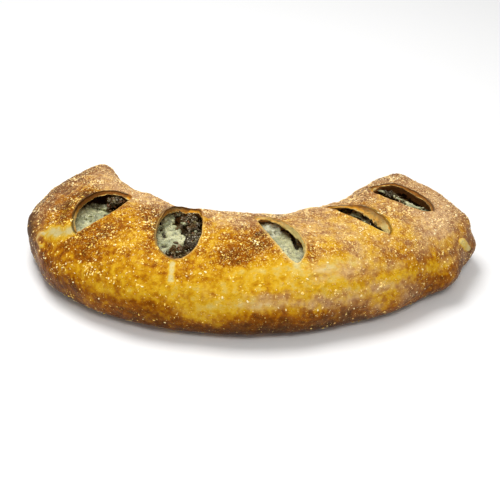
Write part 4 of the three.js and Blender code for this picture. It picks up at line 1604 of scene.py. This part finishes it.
def heaped(name, heaps, strings, ball_size, rough, seed):
    """Balls in the heaps and along the strings, melted into one uneven skin."""
    draw = np.random.default_rng(seed)
    places, radii = [], []
    for middle, half, count, top in heaps:
        for _ in range(count):
            pixel = drawn_pixel(draw, middle, half)
            places.append(seen_at_height(pixel, (top - draw.uniform(*HEAP_DEPTH)) * MM))
            radii.append(draw.uniform(*ball_size))
    for knots, half_width in strings:
        for start, end in zip(knots, knots[1:]):
            a, b = (seen_at_height(knot[:2], knot[2] * MM) for knot in (start, end))
            for share in np.arange(0, 1, STRING_STEP * half_width * MM / (b - a).length):
                places.append(a.lerp(b, share) + Vector(draw.normal(0, STRING_SWAY * half_width * MM, 3)))
                radii.append(half_width * MM * draw.uniform(0.8, 1.25))
    piece = laid_down(name, FINE_BALL, np.array(places), UP, (1, 1, 0.9), np.array(radii), seed + 2)
    apply_modifier(piece, "REMESH", mode="VOXEL", voxel_size=HEAP_VOXEL)
    apply_modifier(piece, "SMOOTH", factor=0.5, iterations=2)
    heap_points = points_of(piece)
    pores = domes(heap_points, **PORES)
    uneven = rough * bump_field(heap_points, **HEAP_SKIN) - 0.5 * pores
    set_points(piece, heap_points + normals_of(piece) * (uneven * MM)[:, None])
    # the pores are painted darker, as shade in their hollows
    paint(piece, "pit", pores)
    smooth_shaded(piece)
    print(name, len(places), "balls,", triangles(piece), "triangles")
    return piece


heaps = heaped("cheese_heaps", HEAPS, STRINGS, CHEESE_BALL, 0.25, 31)

# %% [markdown]
# The meat is piled in the same way where it stands high enough to catch the light, with larger
# balls and a rougher skin. The modelled pieces are then strewn over heaps and bar. Each copy has
# its own mesh and is sunk by about a quarter of its height, as a crumb lies in what carries it.

# %% Heap up the meat
MEAT_HEAPS = (  # middle and half size in the photograph, balls, height of their top over the floor in mm
    ((116, 200), (8, 4), 50, 46),
    ((193, 224), (7, 8), 50, 45),
    ((190, 242), (7, 8), 40, 45),
    ((176, 256), (10, 3), 24, 43),
    ((341, 210), (8, 2.5), 20, 45),
    ((401, 203), (14, 2.5), 24, 42),
)
MEAT_BALL = (1.0 * MM, 2.4 * MM)
MEAT_TONE = {"scale": 4 * MM, "seed": 43.0}
meat_heaps = heaped("meat_heaps", MEAT_HEAPS, (), MEAT_BALL, 0.7, 37)
paint(meat_heaps, "tone", 0.5 + 0.5 * bump_field(points_of(meat_heaps), **MEAT_TONE))

# %% Strew pieces of meat
SEEN_MEAT = (  # middle and half size of each stretch of meat in the photograph, and its pieces
    ((176, 250), (8, 5), 30),
    ((193, 222), (8, 10), 90),
    ((194, 238), (7, 9), 70),
    ((176, 257), (12, 3), 30),
    ((189, 250), (7, 5), 40),
    ((186, 216), (12, 5), 50),
    ((122, 198), (8, 5), 30),
    ((112, 208), (5, 5), 20),
    ((300, 240), (3, 9), 10),
    ((342, 210), (10, 3), 16),
    ((366, 223), (7, 4), 24),
    ((380, 229), (5, 3), 12),
    ((400, 197), (18, 4), 24),
    ((425, 206), (6, 3), 8),
)
HIDDEN_MEAT = ((-0.54, 104, 26), (-0.2, 100, 30), (0.5, 96, 12), (0.75, 104, 20))  # u, degrees, pieces
HIDDEN_SPREAD = (0.035, 16)
PIECE_SIZE = (0.8 * MM, 2.0 * MM)
CENTRE_ABOVE = 0.25  # of a piece over its surface, as a share of its size
LOWEST_PIECE = 24 * MM
filling = shape_tree(meat, cheese, heaps, meat_heaps)
draw = np.random.default_rng(11)


def settle(kind, place, normal, size):
    """A copy of a modelled piece at rest on a surface, its place in its mesh."""
    copy = kind.copy()
    copy.data = kind.data.copy()
    copy.name = "bit"
    bpy.context.scene.collection.objects.link(copy)
    lie = Vector(normal).to_track_quat("Z", "Y").to_matrix().to_4x4()
    spin = Matrix.Rotation(draw.uniform(0, 2 * math.pi), 4, "Z")
    tilt = Matrix.Rotation(draw.normal(0, 0.35), 4, "X")
    grow = Matrix.Diagonal((*(size * draw.uniform(0.85, 1.15, 3)), 1))
    copy.data.transform(Matrix.Translation(place + normal * size * CENTRE_ABOVE) @ lie @ spin @ tilt @ grow)
    return copy


places = []
for middle, half, count in SEEN_MEAT:
    places += [seen_at(drawn_pixel(draw, middle, half), filling) for _ in range(count)]
for u_middle, angle_middle, count in HIDDEN_MEAT:
    for _ in range(count):
        u_here = u_middle + draw.normal(0, HIDDEN_SPREAD[0])
        angle_here = math.radians(angle_middle + draw.normal(0, HIDDEN_SPREAD[1]))
        places.append(lying_at(u_here, angle_here, filling))
made = []
for place, normal in places:
    if place is None or place.z < LOWEST_PIECE:
        continue
    kind = KINDS[draw.integers(len(KINDS))]
    piece = settle(kind, place, normal, draw.uniform(*PIECE_SIZE))
    paint(piece, "tone", np.full(len(piece.data.vertices), draw.uniform(0, 1)))
    made.append(piece)
print("pieces of meat:", len(made), "of", len(places), "places")

# %% Join the pieces of meat
select_only(made[0])
for piece in made:
    piece.select_set(True)
bpy.ops.object.join()
bits = made[0]
bits.name = bits.data.name = "meat_bits"
smooth_shaded(bits)
for kind in KINDS:
    bpy.data.objects.remove(kind)
print("meat bits:", triangles(bits), "triangles")

# %% [markdown]
# Fat and whey glint in points of light all over the filling. Gloss alone gives too few, since the
# meat is too dark and fine to mirror the lamps, so small pale specks are laid on the meat and the
# cheese as painted glints, partly bits of fat. They are drawn over the faces that look up and
# have open sky above them, which a ray upwards to the crust tells, because those are the ones that
# a slash shows.

# %% Sprinkle pale specks as painted glints
MEAT_SPECKS, CHEESE_SPECKS = 600, 900
SPECK_SIZE = (0.3 * MM, 0.55 * MM)
SPECK_FORM = (1.2, 0.8, 0.6)
LOOKS_UP = 0.2
roof = shape_tree(crust)
draw = np.random.default_rng(35)


def strewn_on(pieces, count):
    """Places and normals drawn evenly over the faces that look up through the slashes."""
    faces = [face for piece in pieces for face in piece.data.polygons if face.normal.z > LOOKS_UP]
    faces = [face for face in faces if roof.ray_cast(face.center, Vector(UP))[0] is None]
    area = np.array([face.area for face in faces])
    chosen = draw.choice(len(faces), count, p=area / area.sum())
    return np.array([faces[k].center for k in chosen]), np.array([faces[k].normal for k in chosen])


on_meat = strewn_on((bits, meat_heaps), MEAT_SPECKS)
on_cheese = strewn_on((cheese, heaps), CHEESE_SPECKS)
place, normal = (np.concatenate(pair) for pair in zip(on_meat, on_cheese))
sizes = draw.uniform(*SPECK_SIZE, len(place))
specks = laid_down("fat_specks", PEAK, place, normal, SPECK_FORM, sizes, 36)
print("specks of fat:", triangles(specks), "triangles")

# %% [markdown]
# Browned meat goes from nearly black to brown, with grey fat and a few pink pieces. The mottle
# gives the patches, and the tone that each piece was given makes some darker and some pink. The
# bar has no tone, which counts as 0, so it comes out darkest, as painted shade for meat that lies
# under other meat. A warm specular colour keeps the glints from turning the meat blue.

# %% Colour the meat
MEAT = {
    "dark": srgb(36, 25, 9),
    "brown": srgb(86, 60, 24),
    "grey": srgb(134, 124, 76),
    "pink": srgb(164, 100, 66),
}
MEAT_MOTTLE_SCALE = 90.0
meat_finish, kit = material("meat_browned")
mottle = mottled(kit, MEAT_MOTTLE_SCALE)
tone = kit.field("tone")
colour = kit.mix(kit.band(mottle["Broad"], 0.4, 0.65), MEAT["dark"], MEAT["brown"])
colour = kit.mix(kit.band(mottle["Middle"], 0.55, 0.7, 0, 0.6), colour, MEAT["grey"])
colour = kit.mix(kit.band(tone, 0.88, 0.97, 0, 0.5), colour, MEAT["pink"])
# low tones make some pieces darker, and the untoned bar gets painted shade
colour = kit.mix(kit.band(tone, 0.45, 0.1, 0, 0.5), colour, MEAT["dark"])
connect(kit, "Base Color", colour)
connect(kit, "Normal", kit.bump(mottle["Fine"], 0.6, 0.5 * MM))
connect(kit, "Roughness", kit.band(mottle["Middle"], 0.3, 0.7, 0.28, 0.5))
kit.surface.inputs["Coat Weight"].default_value = 0.06
kit.surface.inputs["Coat Roughness"].default_value = 0.1
kit.surface.inputs["Specular Tint"].default_value = (1.0, 0.84, 0.56, 1.0)
for piece in (meat, meat_heaps, bits):
    piece.data.materials.append(meat_finish)
print("meat finish:", len(meat_finish.node_tree.nodes), "nodes")

# %% [markdown]
# Melted cheese is pale and a little see-through, so it gets some subsurface scattering, and its
# colour goes from cream to a greyish green in the light of the photograph. Two places are painted
# with light and shade: painted light on a heap in the third slash, and painted shade under the
# far lip of the first. They are painted as two more numbers.

# %% Paint light and shade on two places of the cheese
SHADES = {  # middle and half size in the photograph, and how much
    "milky": ((272, 230), (13, 10), 0.5),
    "dusky": ((98, 205), (16, 5), 0.7),
}
for piece in (cheese, heaps):
    seen = np.stack(pixels_of(points_of(piece)), axis=1)
    for name, (middle, half, amount) in SHADES.items():
        away = np.linalg.norm((seen - middle) / half, axis=1)
        paint(piece, name, amount * smooth_step(-away, -1, -0.5))
print("shades:", ", ".join(SHADES))

# %% Colour the cheese
CHEESE = {
    "pale": srgb(208, 207, 160),
    "green": srgb(158, 162, 122),
    "grey": srgb(100, 98, 74),
    "milky": srgb(212, 212, 192),
    "pit": srgb(60, 48, 26),
}
CHEESE_MOTTLE_SCALE = 110.0
cheese_finish, kit = material("cheese_melted")
mottle = mottled(kit, CHEESE_MOTTLE_SCALE)
colour = kit.mix(kit.band(mottle["Broad"], 0.36, 0.6), CHEESE["pale"], CHEESE["green"])
colour = kit.mix(kit.band(mottle["Middle"], 0.46, 0.68, 0, 0.9), colour, CHEESE["grey"])
colour = kit.mix(kit.band(mottle["Fine"], 0.56, 0.66, 0, 0.7), colour, CHEESE["pale"])
colour = kit.mix(kit.band(mottle["Fine"], 0.44, 0.34, 0, 0.6), colour, CHEESE["grey"])
# painted light on a heap of the third slash, then painted shade under the far lip of the first
colour = kit.mix(kit.field("milky"), colour, CHEESE["milky"])
colour = kit.mix(kit.field("dusky"), colour, CHEESE["pit"])
# pits partly darker in their own colour and partly painted shade, and the sunk gaps painted shade
colour = kit.mix(kit.band(kit.field("pit"), 0.2, 0.8), colour, CHEESE["pit"])
connect(kit, "Base Color", colour)
connect(kit, "Normal", kit.bump(mottle["Fine"], 0.6, 0.6 * MM))
connect(kit, "Roughness", kit.band(mottle["Middle"], 0.3, 0.7, 0.25, 0.45))
kit.surface.inputs["Subsurface Weight"].default_value = 0.25
kit.surface.inputs["Subsurface Radius"].default_value = (3 * MM, 2.6 * MM, 1.8 * MM)
for piece in (cheese, heaps):
    piece.data.materials.append(cheese_finish)
print("cheese finish:", len(cheese_finish.node_tree.nodes), "nodes")

# %% Colour the specks: fat, and painted glints
fat_and_glint_finish, kit = material("fat_bright")
kit.surface.inputs["Base Color"].default_value = srgb(250, 244, 214)
kit.surface.inputs["Roughness"].default_value = 0.2
specks.data.materials.append(fat_and_glint_finish)
print("fat finish on", len(specks.data.polygons), "faces")

# %% [markdown]
# ## Grains on the crust
# The crust glints all over: coarse meal and burst pimples stand on it, each less than a
# millimetre across, and their pale colour also stands in for the glints, as painted highlights.
# A bump map loses them from the side, so they are real, and half sunk. One has few faces, since
# there are many thousands. Where they lie follows the photograph: dense on the crown and the
# ends, thin on the smooth golden front, and none on burnt skin or on the painted shade.

# %% Choose where grains lie
GRAIN_FREE_RIM = 1.2 * MM
GRAIN_FREE_FOOT = 2 * MM


def crust_samples(count, density, seed):
    """Places and normals drawn over the crust's faces, more where density is high."""
    draw = np.random.default_rng(seed)
    on_skin = [face for face in crust.data.polygons if outside[list(face.vertices)].all()]
    faces = [face for face in on_skin if face.center.z > GRAIN_FREE_FOOT]
    corner = np.array([list(face.vertices)[:3] for face in faces])
    weight = np.array([face.area for face in faces]) * density[corner].mean(axis=1)
    chosen = draw.choice(len(faces), count, p=weight / weight.sum())
    share = draw.dirichlet((1, 1, 1), count)
    place = np.einsum("ij,ijk->ik", share, points[corner[chosen]])
    normal = np.array([faces[k].normal for k in chosen])
    return place, normal, corner[chosen][:, 0]


density = (0.1 + 1.2 * flecked**2 + 0.2 * flour) * (1 - 0.6 * smooth_front) * (1 - 0.6 * low)
density = np.clip(density, 0.02, 1.5) * (rim_away > GRAIN_FREE_RIM) * (1 - burnt)
density *= 1 - 0.55 * smooth_step(angle, 125, 160)
print("density of grains from", round(float(density.min()), 2), "to", round(float(density.max()), 2))

# %% Strew flakes and grains
FLAKES, FLAKE_SIZE, FLAKE_FORM = 20000, (0.3 * MM, 0.62 * MM), (1.3, 0.75, 0.5)
GRAINS, GRAIN_SIZE, GRAIN_FORM = 3200, (0.42 * MM, 0.9 * MM), (1.2, 0.8, 0.6)
sizes = np.random.default_rng(62).uniform(*FLAKE_SIZE, FLAKES)
place, normal, corner = crust_samples(FLAKES, density, 61)
flakes = laid_down("crust_flakes", PEAK, place, normal, FLAKE_FORM, sizes, 63)
paint(flakes, "flour", np.repeat(flour[corner], len(PEAK[0])))

TUFTS = {"scale": 9 * MM, "seed": 71.0}
tufts = smooth_step(bump_field(points, **TUFTS), 0.1, 0.6)
left_front = spot(u, angle, (-0.47, 40), 34, 30)
grain_density = (density + 1.4 * left_front) * (0.05 + tufts) * (1 - 0.8 * low)
sizes = np.random.default_rng(65).uniform(*GRAIN_SIZE, GRAINS)
place, normal, corner = crust_samples(GRAINS, grain_density, 64)
grains = laid_down("meal_grains", COARSE_BALL, place, normal, GRAIN_FORM, sizes, 66)
paint(grains, "flour", np.repeat(flour[corner], len(COARSE_BALL[0])))
print("flakes and grains:", triangles(flakes), "and", triangles(grains), "triangles")

# %% [markdown]
# Meal dries to a cream colour, yellower where the crust is oiled and pinker under flour, and its
# pale colour stands in for glints too, as painted highlights. The tone of each grain makes some
# nearly white and some toasted, so that they don't look sown.

# %% Colour the grains, which also carry painted glints
MEAL_AND_GLINT = {
    "yellow": srgb(255, 218, 96),
    "cream": srgb(252, 218, 160),
    "white": srgb(255, 244, 200),
    "toasted": srgb(198, 140, 60),
}
grain_and_glint_finish, kit = material("grain_cream")
tone = kit.field("tone")
meal = kit.mix(kit.field("flour"), MEAL_AND_GLINT["yellow"], MEAL_AND_GLINT["cream"])
meal = kit.mix(kit.band(tone, 0.6, 1.0, 0, 0.8), meal, MEAL_AND_GLINT["white"])
meal = kit.mix(kit.band(tone, 0.3, 0.0, 0, 0.8), meal, MEAL_AND_GLINT["toasted"])
connect(kit, "Base Color", meal)
kit.surface.inputs["Roughness"].default_value = 0.3
kit.surface.inputs["Specular IOR Level"].default_value = 0.6
for piece in (flakes, grains):
    piece.data.materials.append(grain_and_glint_finish)
print("grain finish:", len(grain_and_glint_finish.node_tree.nodes), "nodes")

# %% [markdown]
# ## Handing over
# Each dressed piece rides on the part's one body and takes the place of the plain solid under
# it. The floor gets its pale finish.

# %% Finish the floor
floor_finish, kit = material("floor_pale")
kit.surface.inputs["Base Color"].default_value = (0.9, 0.9, 0.9, 1)
kit.surface.inputs["Roughness"].default_value = 0.6
floor.data.materials.append(floor_finish)
print("floor finish on", floor.name)

# %% Hand the pieces to the frame
DRESSED = (
    (crust, "crust", "crust"),
    (meat, "meat_filling", "meat"),
    (cheese, "melted_cheese", "cheese"),
)
ADDED = (
    (bits, "meat"),
    (meat_heaps, "meat"),
    (specks, "meat"),
    (heaps, "cheese"),
    (flakes, "crust"),
    (grains, "crust"),
)
for piece, node, slot in DRESSED:
    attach(piece, "root")
    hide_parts(node)
for piece, slot in ADDED:
    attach(piece, "root")
